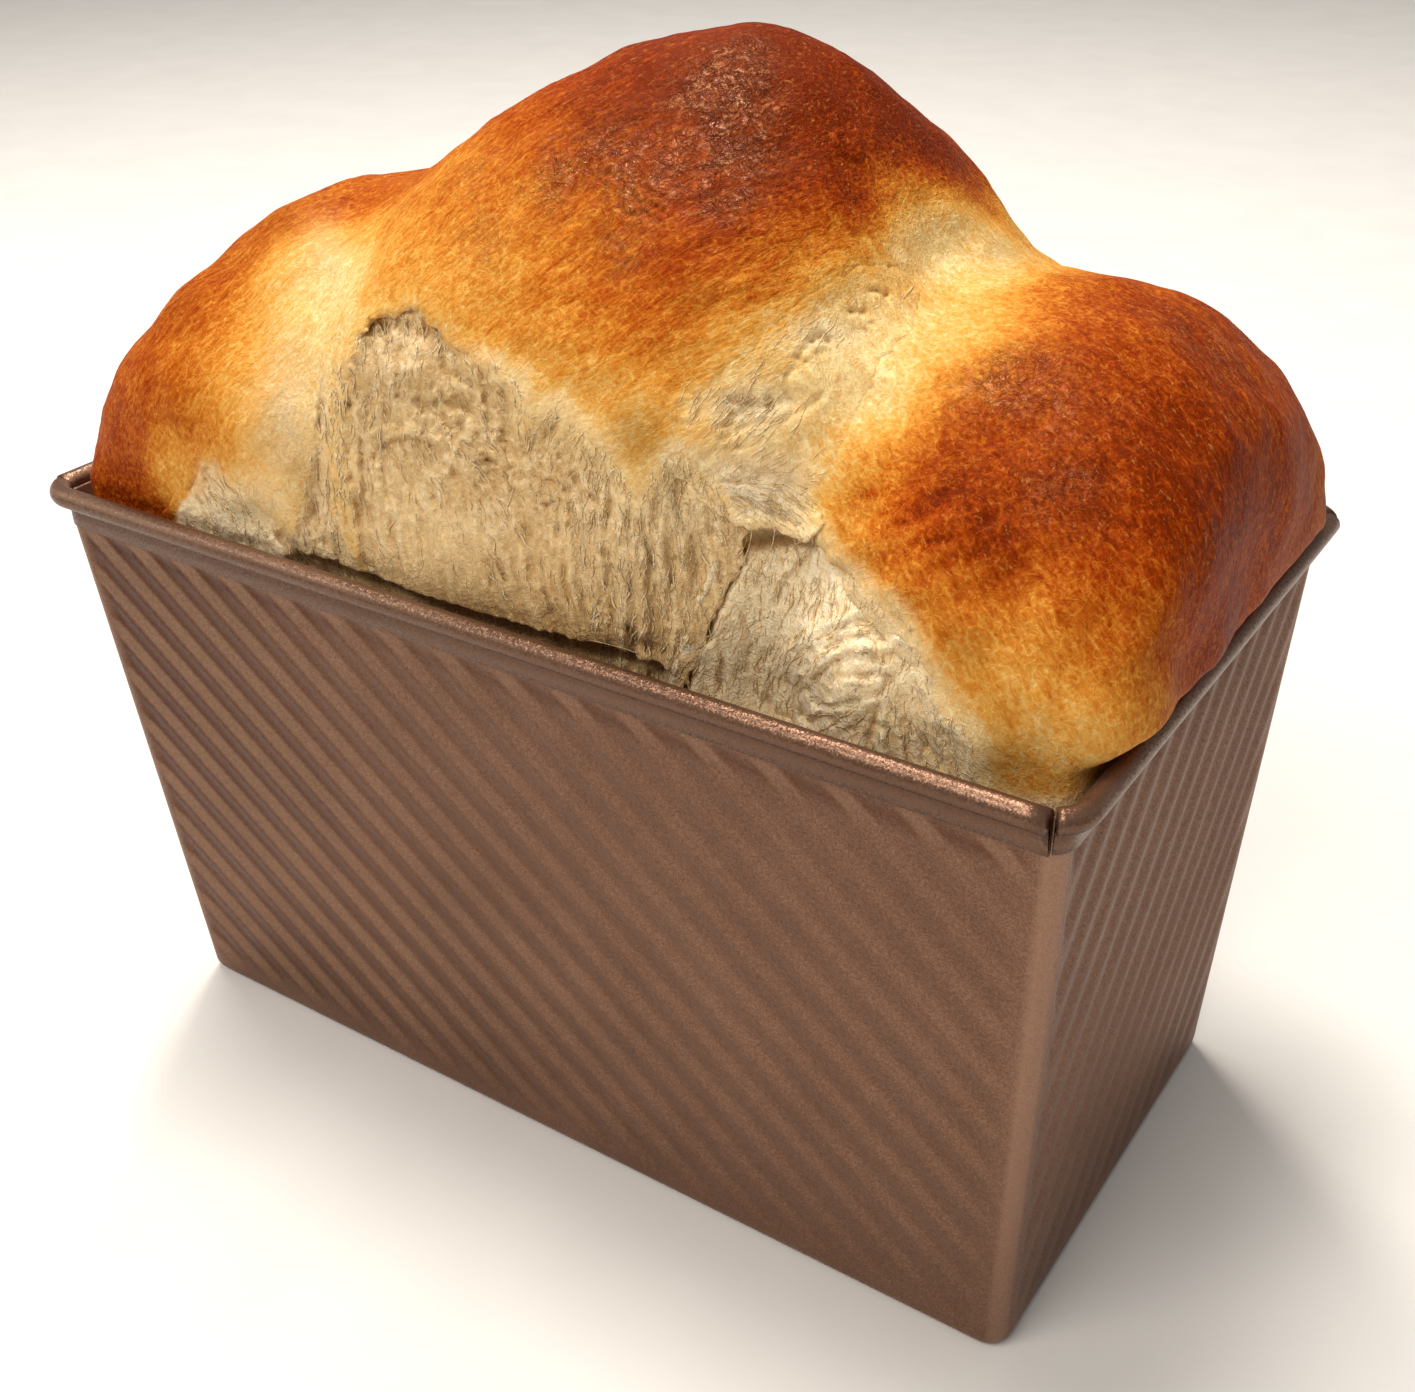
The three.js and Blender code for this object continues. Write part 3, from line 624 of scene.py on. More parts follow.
# ------------------------------------------------------------- materials
class Nodes:
    """a small helper that adds and links nodes"""

    def __init__(self, name):
        self.mat = bpy.data.materials.new(name)
        self.mat.use_nodes = True
        self.t = self.mat.node_tree
        self.t.nodes.clear()
        self.out = self.t.nodes.new("ShaderNodeOutputMaterial")
        self.bsdf = self.t.nodes.new("ShaderNodeBsdfPrincipled")
        self.t.links.new(self.bsdf.outputs[0], self.out.inputs[0])

    def link(self, a, b):
        self.t.links.new(a, b)

    def put(self, node, key, val):
        if isinstance(val, bpy.types.NodeSocket):
            self.link(val, node.inputs[key])
        elif val is not None:
            node.inputs[key].default_value = val

    def attr(self, name, out="Fac"):
        n = self.t.nodes.new("ShaderNodeAttribute")
        n.attribute_name = name
        return n.outputs[out]

    def pos(self):
        return self.t.nodes.new("ShaderNodeTexCoord").outputs["Object"]

    def scaled(self, vec, scale, rot=(0, 0, 0)):
        n = self.t.nodes.new("ShaderNodeMapping")
        n.inputs["Scale"].default_value = scale
        n.inputs["Rotation"].default_value = rot
        self.link(vec, n.inputs["Vector"])
        return n.outputs[0]

    def noise(self, vec, scale, detail=2.0, rough=0.5, distortion=0.0, out="Fac"):
        n = self.t.nodes.new("ShaderNodeTexNoise")
        n.inputs["Scale"].default_value = scale
        n.inputs["Detail"].default_value = detail
        n.inputs["Roughness"].default_value = rough
        n.inputs["Distortion"].default_value = distortion
        self.link(vec, n.inputs["Vector"])
        return n.outputs[out]

    def voronoi(self, vec, scale, feature="F1", out="Distance", rand=1.0):
        n = self.t.nodes.new("ShaderNodeTexVoronoi")
        n.feature = feature
        n.inputs["Scale"].default_value = scale
        n.inputs["Randomness"].default_value = rand
        self.link(vec, n.inputs["Vector"])
        return n.outputs[out]

    def axis(self, vec, d):
        n = self.t.nodes.new("ShaderNodeVectorMath")
        n.operation = "DOT_PRODUCT"
        self.link(vec, n.inputs[0])
        n.inputs[1].default_value = d
        return n.outputs["Value"]

    def turned(self, vec, along, fine, slow):
        """coordinates drawn out along one direction: finely divided across it, slowly along it"""
        d = Vector(along).normalized()
        a = d.orthogonal().normalized()
        b = d.cross(a)
        n = self.t.nodes.new("ShaderNodeCombineXYZ")
        for k, v in enumerate((a * fine, b * fine, d * slow)):
            self.link(self.axis(vec, v), n.inputs[k])
        return n.outputs[0]

    def mixf(self, fac, a, b):
        n = self.t.nodes.new("ShaderNodeMix")
        n.data_type = "FLOAT"
        for k, v in enumerate((fac, a, b)):
            self.put(n, (0, 2, 3)[k], v)
        return n.outputs[0]

    def math(self, op, a, b=None, c=None, clamp=False):
        n = self.t.nodes.new("ShaderNodeMath")
        n.operation = op
        n.use_clamp = clamp
        for k, v in enumerate((a, b, c)):
            self.put(n, k, v)
        return n.outputs[0]

    def remap(self, v, a, b, c=0.0, d=1.0, smooth=False):
        n = self.t.nodes.new("ShaderNodeMapRange")
        if smooth:
            n.interpolation_type = "SMOOTHSTEP"
        self.put(n, "Value", v)
        for k, x in (("From Min", a), ("From Max", b), ("To Min", c), ("To Max", d)):
            self.put(n, k, x)
        return n.outputs[0]

    def ramp(self, v, stops):
        n = self.t.nodes.new("ShaderNodeValToRGB")
        r = n.color_ramp
        while len(r.elements) < len(stops):
            r.elements.new(0.5)
        for e, (p, c) in zip(r.elements, stops):
            e.position = p
            e.color = (*c, 1)
        self.link(v, n.inputs[0])
        return n.outputs[0]

    def mix(self, fac, a, b, kind="MIX"):
        n = self.t.nodes.new("ShaderNodeMix")
        n.data_type = "RGBA"
        n.blend_type = kind
        self.put(n, "Factor", fac)
        for k, v in ((6, a), (7, b)):
            if isinstance(v, bpy.types.NodeSocket):
                self.link(v, n.inputs[k])
            else:
                n.inputs[k].default_value = (*v, 1)
        return n.outputs[2]

    def bump(self, height, strength, distance, normal=None):
        n = self.t.nodes.new("ShaderNodeBump")
        n.inputs["Strength"].default_value = strength
        n.inputs["Distance"].default_value = distance
        self.link(height, n.inputs["Height"])
        if normal is not None:
            self.link(normal, n.inputs["Normal"])
        return n.outputs[0]


def srgb(r, g, b):
    """linear colour from the usual 0-255 values"""
    def f(c):
        c /= 255
        return c / 12.92 if c <= 0.04045 else ((c + 0.055) / 1.055) ** 2.4
    return (f(r), f(g), f(b))


# which way the crust's flaky streaks run on the middle, right and left lobe
FLOWS = ((-0.60, -0.70, -0.40), (0.646, -0.09, -0.74), (-0.50, -0.45, -0.72))


def bread_material(name, deep, reach):
    n = Nodes(name)
    p = n.pos()
    bake = n.attr("bake")
    crumb = n.attr("crumb")
    gloss = n.attr("gloss")
    # fine flaky streaks; each lobe was rolled and stretched its own way
    x = n.axis(p, (1, 0, 0))
    right = n.remap(x, 0.041, 0.050, smooth=True)
    left = n.remap(x, -0.040, -0.052, smooth=True)

    def streak(k, across, along, detail, rough):
        f = [n.noise(n.turned(p, d, across, along), 1.0, detail, rough, k) for d in FLOWS]
        g = n.mixf(right, f[0], f[1])
        return n.mixf(left, g, f[2])

    # thin curled lines, as of torn cell walls and of the crinkled skin
    sway = n.t.nodes.new("ShaderNodeVectorMath"); sway.operation = "MULTIPLY_ADD"
    n.link(n.noise(p, 330, 2.0, 0.5, out="Color"), sway.inputs[0])
    sway.inputs[1].default_value = (0.0042, 0.0042, 0.0042)
    n.link(p, sway.inputs[2])
    curls = None
    for scale, part in ((520, 0.5), (1100, 0.35), (2300, 0.25)):
        r = n.math("ABSOLUTE", n.math("SUBTRACT", n.noise(sway.outputs[0], scale, 0.0), 0.5))
        r = n.math("POWER", n.math("SUBTRACT", 1.0, n.math("MULTIPLY", r, 10.0), clamp=True), 2.0)
        r = n.math("MULTIPLY", r, part)
        curls = r if curls is None else n.math("ADD", curls, r)

    fine = streak(0.0, 1500, 480, 2.0, 0.6)
    mid = streak(0.6, 420, 110, 3.0, 0.6)
    soft = n.noise(p, 75, 3.0, 0.55)
    speck = n.noise(p, 1300, 2.0, 0.6)
    painted_glint_flecks = n.remap(streak(0.3, 1500, 620, 3.0, 0.75), 0.57, 0.70, smooth=True)
    b = n.math("ADD", bake, n.math("MULTIPLY", n.math("SUBTRACT", mid, 0.5), 0.36))
    b = n.math("ADD", b, n.math("MULTIPLY", n.math("SUBTRACT", fine, 0.5), 0.46))
    b = n.math("ADD", b, n.math("MULTIPLY", n.math("SUBTRACT", speck, 0.5), 0.12))
    # the crust is paler along the thin curled lines: partly the crinkled skin's own tone, partly painted glints
    b = n.math("SUBTRACT", b, n.math("MULTIPLY", n.math("SUBTRACT", curls, 0.33), 0.26))
    b = n.math("ADD", b, n.math("MULTIPLY", n.math("SUBTRACT", soft, 0.5), 0.30), clamp=True)
    crust = n.ramp(b, [
        (0.00, srgb(244, 218, 158)), (0.09, srgb(232, 199, 136)), (0.13, srgb(229, 193, 127)), (0.25, srgb(222, 173, 97)), (0.38, srgb(215, 154, 68)),
        (0.52, srgb(200, 126, 43)), (0.68, srgb(176, 90, 20)), (0.84, srgb(148, 55, 4)), (1.00, srgb(110, 33, 1))])
    # painted glints: fine golden flecks along the flaky streaks lighten the crust
    crust = n.mix(n.math("MULTIPLY", painted_glint_flecks, 0.3), crust, srgb(236, 166, 84))
    pores = n.noise(p, 900, 4.0, 0.62)
    strand = n.noise(n.scaled(p, (900, 500, 160)), 1.0, 3.0, 0.6)
    # lift: painted light and shade on the crumb, lighter where its relief stands out and darker where it lies back,
    # with a given brightening of each torn face and strand
    lift = n.math("MULTIPLY", n.attr("lift"), 0.22)
    tone = n.math("ADD", n.math("ADD", n.math("MULTIPLY", pores, 0.3), n.math("MULTIPLY", strand, 0.34)), n.math("ADD", n.math("MULTIPLY", curls, 0.36), lift))
    white = n.ramp(tone, [
        (0.02, srgb(198, 158, 105)), (0.24, srgb(226, 191, 139)), (0.46, srgb(243, 216, 171)), (0.68, srgb(250, 231, 196)),
        (0.95, srgb(251, 237, 208))])
    cream = n.remap(n.noise(p, 45, 3.0, 0.5), 0.35, 0.7, 0.0, 0.35)
    white = n.mix(cream, white, srgb(238, 208, 154))
    col = n.mix(crumb, crust, white)
    # painted highlight: the shiny crinkled places are lightened towards pale orange in speckles, standing in for the
    # lamp's glints; the same speckles raise the coat
    grain = n.noise(p, 620, 3.0, 0.6, 1.2)
    glint = n.remap(grain, 0.52, 0.64, smooth=True)
    painted_sheen = n.math("ADD", 0.10, n.math("MULTIPLY", glint, 0.52))
    col = n.mix(n.math("MULTIPLY", gloss, painted_sheen), col, srgb(232, 152, 98))
    # painted shade: the base colour is darkened towards black at the listed shaded places
    col = n.mix(n.attr("painted_shade"), col, srgb(0, 0, 0))
    n.link(col, n.bsdf.inputs["Base Color"])
    rough = n.remap(b, 0.2, 0.95, 0.66, 0.50)
    rough = n.math("SUBTRACT", rough, n.math("MULTIPLY", gloss, 0.30))
    rough = n.math("ADD", rough, n.math("MULTIPLY", n.math("SUBTRACT", fine, 0.5), 0.16))
    rough = n.math("ADD", rough, n.math("MULTIPLY", crumb, 0.3), clamp=True)
    n.link(rough, n.bsdf.inputs["Roughness"])
    n.bsdf.inputs["Specular IOR Level"].default_value = 0.06
    n.bsdf.inputs["Specular Tint"].default_value = (1.0, 0.68, 0.30, 1.0)
    n.link(n.math("MULTIPLY", n.math("POWER", gloss, 1.7), n.math("ADD", 0.35, n.math("MULTIPLY", glint, 0.65)), clamp=True), n.bsdf.inputs["Coat Weight"])
    n.bsdf.inputs["Coat Roughness"].default_value = 0.10
    n.bsdf.inputs["Coat IOR"].default_value = 1.45
    h = n.math("ADD", n.math("MULTIPLY", fine, 0.7), n.math("MULTIPLY", mid, 0.8))
    h = n.math("ADD", n.math("ADD", h, n.math("MULTIPLY", speck, 0.35)), n.math("MULTIPLY", curls, 0.2))
    nb = n.bump(h, 0.8, 0.0006)
    hg = n.math("MULTIPLY", n.math("ADD", grain, n.math("MULTIPLY", curls, 0.8)), gloss)
    nb = n.bump(hg, 0.8, 0.0008, nb)
    hc = n.math("MULTIPLY", n.math("ADD", n.math("MULTIPLY", n.math("ADD", pores, strand), 0.8), n.math("MULTIPLY", curls, 0.7)), crumb)
    nb = n.bump(hc, 0.6, 0.00030, nb)
    n.link(nb, n.bsdf.inputs["Normal"])
    n.link(nb, n.bsdf.inputs["Coat Normal"])
    n.bsdf.inputs["Subsurface Weight"].default_value = deep
    n.bsdf.inputs["Subsurface Radius"].default_value = (1.0, 0.85, 0.65)
    n.bsdf.inputs["Subsurface Scale"].default_value = reach
    return n.mat


BREAD = bread_material("bread", 0.12, 0.003)
CRUMB = bread_material("crumb", 0.3, 0.0012)
STRAND = bread_material("strand", 0.0, 0.001)


def dress(ob, mat, node):
    ob.data.materials.clear()
    ob.data.materials.append(mat)
    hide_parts(node)
    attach(ob, "root")


def build_crust():
    V, Q = make_crust()
    keep = V[:, 2] > 8
    V2, Q2, T, used = cut_and_cap(V, Q, keep, (0, 0, 1.25))
    # the lowest loop drops to the flat underside
    low = np.unique(T[:, :2])
    V2[low, 2] = 1.6
    V2[low, 0] *= 0.985; V2[low, 1] *= 0.97
    Nn = normals_of(V2[:-1], Q2)
    Nn = np.concatenate([Nn, [[0, 0, -1]]]).astype(F)
    b, c, g, painted_shade = surface_look(V2, Nn)
    ob = make_mesh("crust", V2, [Q2, T], True, {"bake": b, "crumb": c, "gloss": g, "painted_shade": painted_shade, "lift": crust_relief(*V2.T)})
    dress(ob, BREAD, "loaf")
    return ob


# ------------------------------------------------------ torn crumb patches
def ridge(n):
    """thin raised threads out of smooth noise, 0..1"""
    return (1 - np.abs(n) * 2.2).clip(0, 1) ** 2


def froth(u, v, size=9.0):
    """small open cells with thin walls between them"""
    z = u * 0
    a = N5(u / size, v / size, z)
    b = N4(u / (size * 0.5), v / (size * 0.5), z)
    return 0.7 * (1 - np.abs(a) * 2).clip(-0.6, 1) + 0.35 * b


def lace(u, v, size=1.0):
    """curled walls of small torn cells"""
    z = u * 0
    a = u + 6 * N3(u / 13, v / 13, z) + 2.5 * N2(u / 5, v / 5, z); b = v + 6 * N1(u / 13, v / 13, z + 3) + 2.5 * N4(u / 5, v / 5, z + 2)
    walls = 0.62 * ridge(N5(a / (9 * size), b / (7.5 * size), z)) + 0.5 * ridge(N4(a / (5 * size), b / (4.4 * size), z + 1))
    pits = ss(0.22, 0.55, N1(a / (7 * size), b / (5.5 * size), z + 4)) + 0.7 * ss(0.3, 0.6, N3(a / (4.5 * size), b / (4 * size), z + 7))
    return walls - 0.42 + 0.3 * N2(u / 22, v / 16, z + 5) - 0.3 * pits * ss(-0.25, 0.25, N5(u / 30, v / 24, z + 9))


def blob(u, v, cu, cv, ru, rv):
    return np.exp(-(((u - cu) / ru) ** 2 + ((v - cv) / rv) ** 2))


def flow_m(u, v):
    """which way the strands run on the middle face, as an angle from straight down towards the right"""
    left = ss(400, 340, u)
    a = 0.05 + 0.55 * ss(480, 620, v) * ss(560, 380, u) + 0.16 * np.sin(u / 37.0) + 0.12 * np.sin(v / 29.0 + u / 50.0)
    a = a + 0.6 * blob(u, v, 470, 395, 60, 34) - 0.6 * blob(u, v, 560, 430, 40, 50) + 0.9 * blob(u, v, 440, 470, 90, 24)
    a = a + 0.35 * N3(u / 38, v / 38, u * 0) * ss(640, 520, u)
    return lerp(a, 0.02 + 0.5 * ss(500, 580, v), left)


def flow_r(u, v):
    """on the right face: a fan from its top, wound round a swirl further right"""
    cu, cv = 842.0, 682.0
    z = u * 0
    fan = np.arctan2((u - 860) * 0.5, v - 440) + 0.25 * N3(u / 40, v / 40, z)
    u = u + 20 * N3(u / 34, v / 34, z) + 7 * N2(u / 12, v / 12, z); v = v + 18 * N5(u / 30, v / 30, z) + 6 * N4(u / 12, v / 12, z)
    x = (u - cu) * 0.8 - (v - cv) * 0.6; y = ((u - cu) * 0.6 + (v - cv) * 0.8) * 2.0
    tx, ty = -y * 2.0, x
    tu = tx * 0.8 + ty * 0.6; tv = -tx * 0.6 + ty * 0.8
    flip = np.where(tv < 0, -1, 1)
    swirl = np.arctan2(tu * flip, tv * flip)
    return lerp(fan, swirl, ss(92, 40, np.hypot(x, y * 0.7)))


def flow_l(u, v):
    return 0.04 + 0.62 * ss(470, 600, v) + 0.5 * ss(290, 220, u) + 0.12 * np.sin(v / 31.0)


def flow_v(u, v):
    up = math.pi - 0.72 + 0.3 * N3(u / 45, v / 45, u * 0)
    ledge = 1.25 - 0.35 * ss(700, 800, u) + 0.12 * N4(u / 25, v / 25, u * 0)
    return lerp(up, ledge, ss(455, 500, v) * ss(690, 712, u))


class Drawn:
    """a map over the picture's pixels, read back between its points"""

    def __init__(self, box, cell=1.6):
        self.u0, self.u1, self.v0, self.v1 = box
        self.c = cell
        self.u, self.v = np.meshgrid(np.arange(self.u0, self.u1, cell, dtype=F), np.arange(self.v0, self.v1, cell, dtype=F))
        self.maps = None

    def drag(self, flow, grain, half, seed):
        """noise smeared along the flow, which leaves long threads; mean 0, spread 1"""
        n = Noise(seed)
        z = self.u * 0
        step = 1.6
        total = n(self.u / grain, self.v / grain, z)
        for way in (1, -1):
            u, v = self.u.copy(), self.v.copy()
            for k in range(int(half / step)):
                a = flow(u, v)
                u = u + way * step * np.sin(a); v = v + way * step * np.cos(a)
                total = total + n(u / grain, v / grain, z)
        total -= total.mean()
        return (total / total.std()).astype(F)

    def creases(self, lines):
        """sum of soft grooves along polylines: each is (points, half width in px, depth in mm)"""
        out = np.zeros(self.u.shape, F)
        for pts, w, dep in lines:
            d2 = np.full(self.u.shape, 1e9, F)
            for (ax, ay), (bx, by) in zip(pts, pts[1:]):
                ex, ey = bx - ax, by - ay
                t = np.clip(((self.u - ax) * ex + (self.v - ay) * ey) / (ex * ex + ey * ey), 0, 1)
                d2 = np.minimum(d2, (self.u - ax - ex * t) ** 2 + (self.v - ay - ey * t) ** 2)
            rag = 1 + 0.35 * N4(self.u / 9, self.v / 16, self.u * 0 + len(pts))
            out = np.maximum(out, dep * np.exp(-d2 / (w * w)) * rag) if dep > 0 else out + dep * np.exp(-d2 / (w * w)) * rag
        return out

    def __call__(self, u, v):
        x = np.clip((u - self.u0) / self.c, 0, self.u.shape[1] - 1.001)
        y = np.clip((v - self.v0) / self.c, 0, self.u.shape[0] - 1.001)
        i, j = x.astype(np.int32), y.astype(np.int32)
        x = x - i; y = y - j
        return [(m[j, i] * (1 - x) + m[j, i + 1] * x) * (1 - y) + (m[j + 1, i] * (1 - x) + m[j + 1, i + 1] * x) * y for m in self.maps]


def threads(g, flow, seed, fine=0.12, rope=0.22):
    """relief of strands that follow the flow, with slits between them, in mm"""
    a = g.drag(flow, 2.6, 20, seed)
    b = g.drag(flow, 6.0, 34, seed + 1)
    gap = ss(1.2, 2.1, -b) * ss(-0.1, 0.5, N5(g.u / 16, g.v / 22, g.u * 0))
    return fine * a.clip(-1.6, 2.2) + rope * b.clip(-1.5, 2.0) - 0.5 * gap


def relief_m():
    """maps of recess and relief of the middle lobe's torn face, in mm"""
    g = Drawn((324, 752, 296, 712))
    u, v = g.u, g.v
    st = threads(g, flow_m, 101)
    fr = froth(u, v)
    frothy = np.clip(blob(u, v, 440, 430, 100, 74) + blob(u, v, 545, 480, 80, 46) * 0.9 + blob(u, v, 520, 400, 60, 30), 0, 1)
    calm = np.clip(blob(u, v, 450, 575, 62, 52) * 1.15, 0, 1)
    lc = lace(u, v)
    rel = st * (1 - 0.6 * frothy) + lc * (0.42 + 0.72 * frothy)
    rel = rel * (1 - 0.72 * calm)
    ragged = 1 + 0.6 * N3(u / 9, v / 9, u * 0)
    rel = rel * (1 - 0.5 * ss(392, 352, u))
    rec = 1.5 + 1.0 * blob(u, v, 388, 325, 28, 8) * ragged + 0.2 * blob(u, v, 354, 338, 8, 14) + 1.6 * blob(u, v, 431, 332, 12, 8) * ragged
    rec = rec + 0.5 * blob(u, v, 440, 398, 80, 18) * ragged - 0.3 * blob(u, v, 400, 366, 44, 14) * ragged
    rec = rec - 0.8 * calm + 0.8 * blob(u, v, 515, 412, 14, 20) - 0.8 * blob(u, v, 462, 446, 22, 12)
    rec = rec + 2.2 * blob(u, v, 700, 560, 16, 36) + 1.6 * blob(u, v, 620, 648, 40, 9) + 0.5 * blob(u, v, 600, 470, 30, 30)
    rec = rec + g.creases([
        (((487, 460), (505, 465), (530, 475), (552, 481), (569, 490)), 4, 0.8), (((497, 385), (506, 398), (514, 412), (522, 420)), 4, 0.8),
        (((489, 559), (494, 572), (492, 584)), 2.6, 1.1), (((498, 562), (506, 580)), 2.4, 1.0), (((351, 396), (345, 430), (349, 470), (360, 515)), 6, 0.3),
        (((380, 448), (392, 441), (410, 438), (428, 441), (438, 451)), 3, 0.9), (((458, 458), (472, 444), (484, 432)), 3, 0.6),
        (((358, 345), (350, 372), (353, 392)), 4, 0.6), (((640, 520), (652, 560), (648, 590)), 4, 1.0), (((656, 585), (650, 640)), 4, 1.1),
        (((668, 540), (672, 580), (668, 620)), 3.4, 1.0), (((600, 545), (612, 560), (604, 592)), 3, 0.9), (((628, 628), (636, 640), (650, 648)), 4, 1.6),
        (((548, 506), (560, 499), (572, 505), (575, 519), (563, 530), (551, 523)), 3, 0.9), (((572, 470), (580, 486), (596, 500)), 3.4, 0.9),
        (((606, 466), (612, 492), (610, 516)), 3, 0.8), (((690, 470), (680, 500), (684, 530)), 4, 1.1), (((664, 478), (656, 500)), 4, 1.2),
        (((455, 372), (470, 384), (492, 388)), 3.5, 0.9), (((400, 396), (428, 404), (450, 402), (470, 410)), 4, 0.8), (((372, 376), (366, 420)), 3, 0.4),
        (((362, 440), (366, 490), (380, 540)), 3, 0.4), (((530, 560), (548, 600), (566, 640)), 3, 0.6)])
    rec = rec + g.creases([(((487, 452), (530, 466), (569, 481)), 4, -0.6), (((476, 372), (480, 400), (484, 436)), 4, -0.9), (((336, 360), (334, 430), (340, 500)), 4, -0.9),
                           (((356, 400), (354, 450), (360, 500)), 3.5, -0.6), (((700, 585), (690, 640)), 5, -0.5), (((380, 441), (410, 430), (438, 444)), 4, -0.5)])
    g.maps = (rec.astype(F), rel.astype(F))
    return g


def relief_r():
    g = Drawn((652, 996, 512, 856))
    u, v = g.u, g.v
    st = threads(g, flow_r, 131)
    fr = froth(u, v, 10.0)
    calm = np.clip(blob(u, v, 765, 600, 62, 48) + blob(u, v, 735, 655, 45, 45) * 0.8 + blob(u, v, 760, 712, 55, 16) * 0.7, 0, 1)
    swirl = np.clip(blob(u, v, 855, 660, 80, 58), 0, 1)
    rel = st * (0.85 - 0.6 * swirl) + lace(u, v, 0.9) * (0.26 + 0.7 * swirl + 0.2 * ss(880, 920, u))
    rel = rel * (1 - 0.6 * calm)
    rec = 1.5 - 1.5 * blob(u, v, 838, 668, 85, 55) + 3.2 * blob(u, v, 768, 536, 40, 10) + 2.0 * blob(u, v, 738, 545, 24, 14)
    rec = rec + 0.4 * blob(u, v, 940, 740, 30, 40)
    rec = rec + g.creases([
        (((776, 602), (786, 583), (798, 567), (808, 556)), 4, 0.9), (((810, 690), (819, 674), (832, 663), (850, 656), (868, 655), (886, 662)), 4.0, 0.9),
        (((812, 700), (826, 708), (846, 704), (866, 696), (882, 690)), 3.2, 0.6), (((888, 655), (900, 650), (912, 660), (924, 674)), 4.0, 1.2),
        (((704, 632), (714, 603), (726, 578), (736, 552)), 8, 3.2), (((768, 698), (775, 714), (792, 720)), 3, 0.9), (((802, 714), (812, 723), (822, 712)), 3, 0.9),
        (((838, 630), (850, 622), (866, 622)), 3.0, 0.6), (((850, 640), (866, 634), (884, 640)), 3, 0.5), (((826, 648), (842, 640)), 2.6, 0.8),
        (((860, 676), (876, 672), (892, 676)), 3, 0.9), (((690, 664), (684, 690)), 6, 2.4), (((880, 706), (872, 722), (884, 730)), 3, 1.0),
        (((930, 700), (944, 716), (950, 736)), 4, 0.8), (((958, 740), (966, 764), (974, 784)), 4, 0.8), (((905, 720), (924, 740), (940, 764)), 3, 0.8),
        (((742, 610), (750, 640), (748, 670)), 2.4, 0.5), (((718, 640), (724, 668), (720, 690)), 3, 0.7)])
    rec = rec + g.creases([(((806, 682), (822, 664), (846, 648), (872, 646), (892, 650)), 3.4, -0.5), (((816, 712), (850, 711), (884, 698)), 3.4, -0.5),
                           (((770, 668), (800, 640), (830, 622), (860, 612)), 3.4, -0.4), (((824, 692), (842, 680), (866, 684)), 3.4, -0.4), (((896, 640), (914, 652), (928, 672)), 4, -0.6)])
    g.maps = (rec.astype(F), rel.astype(F))
    return g


def relief_l():
    g = Drawn((164, 412, 316, 652))
    u, v = g.u, g.v
    st = threads(g, flow_l, 151)
    fr = froth(u, v, 10.0)
    valley = ss(268, 300, u)
    rel = lerp(lace(u, v) * 0.5 + 0.4 * st, st * 0.8 + 0.5 * lace(u, v), valley)
    rec = lerp(1.0, 1.4, valley) + 1.5 * blob(u, v, 201, 478, 9, 20) * (1 + 0.5 * N4(u / 8, v / 8, u * 0))
    t = v - 520 - 0.367 * (u - 178)
    rec = rec - 1.7 * ss(-72, -8, t) * ss(330, 290, u) + 0.4 * ss(-18, -60, t) * ss(-150, -90, t) * ss(345, 300, u)
    rec = rec + g.creases([
        (((338, 360), (335, 420), (338, 480), (350, 530)), 4, 1.6), (((322, 380), (318, 430), (322, 480)), 3.5, 1.0), (((308, 470), (316, 510), (330, 545)), 4, 1.1),
        (((296, 500), (300, 530), (316, 560)), 4, 1.2), (((214, 468), (240, 500), (270, 534)), 3.2, 0.9), (((282, 534), (304, 560), (340, 590)), 6, 2.0)])
    rec = rec + g.creases([(((330, 350), (327, 420), (330, 480), (342, 530)), 4, -0.9), (((313, 400), (309, 450), (314, 500)), 4, -0.7), (((208, 460), (234, 490), (268, 530)), 3.4, -0.9)])
    g.maps = (rec.astype(F), rel.astype(F))
    return g


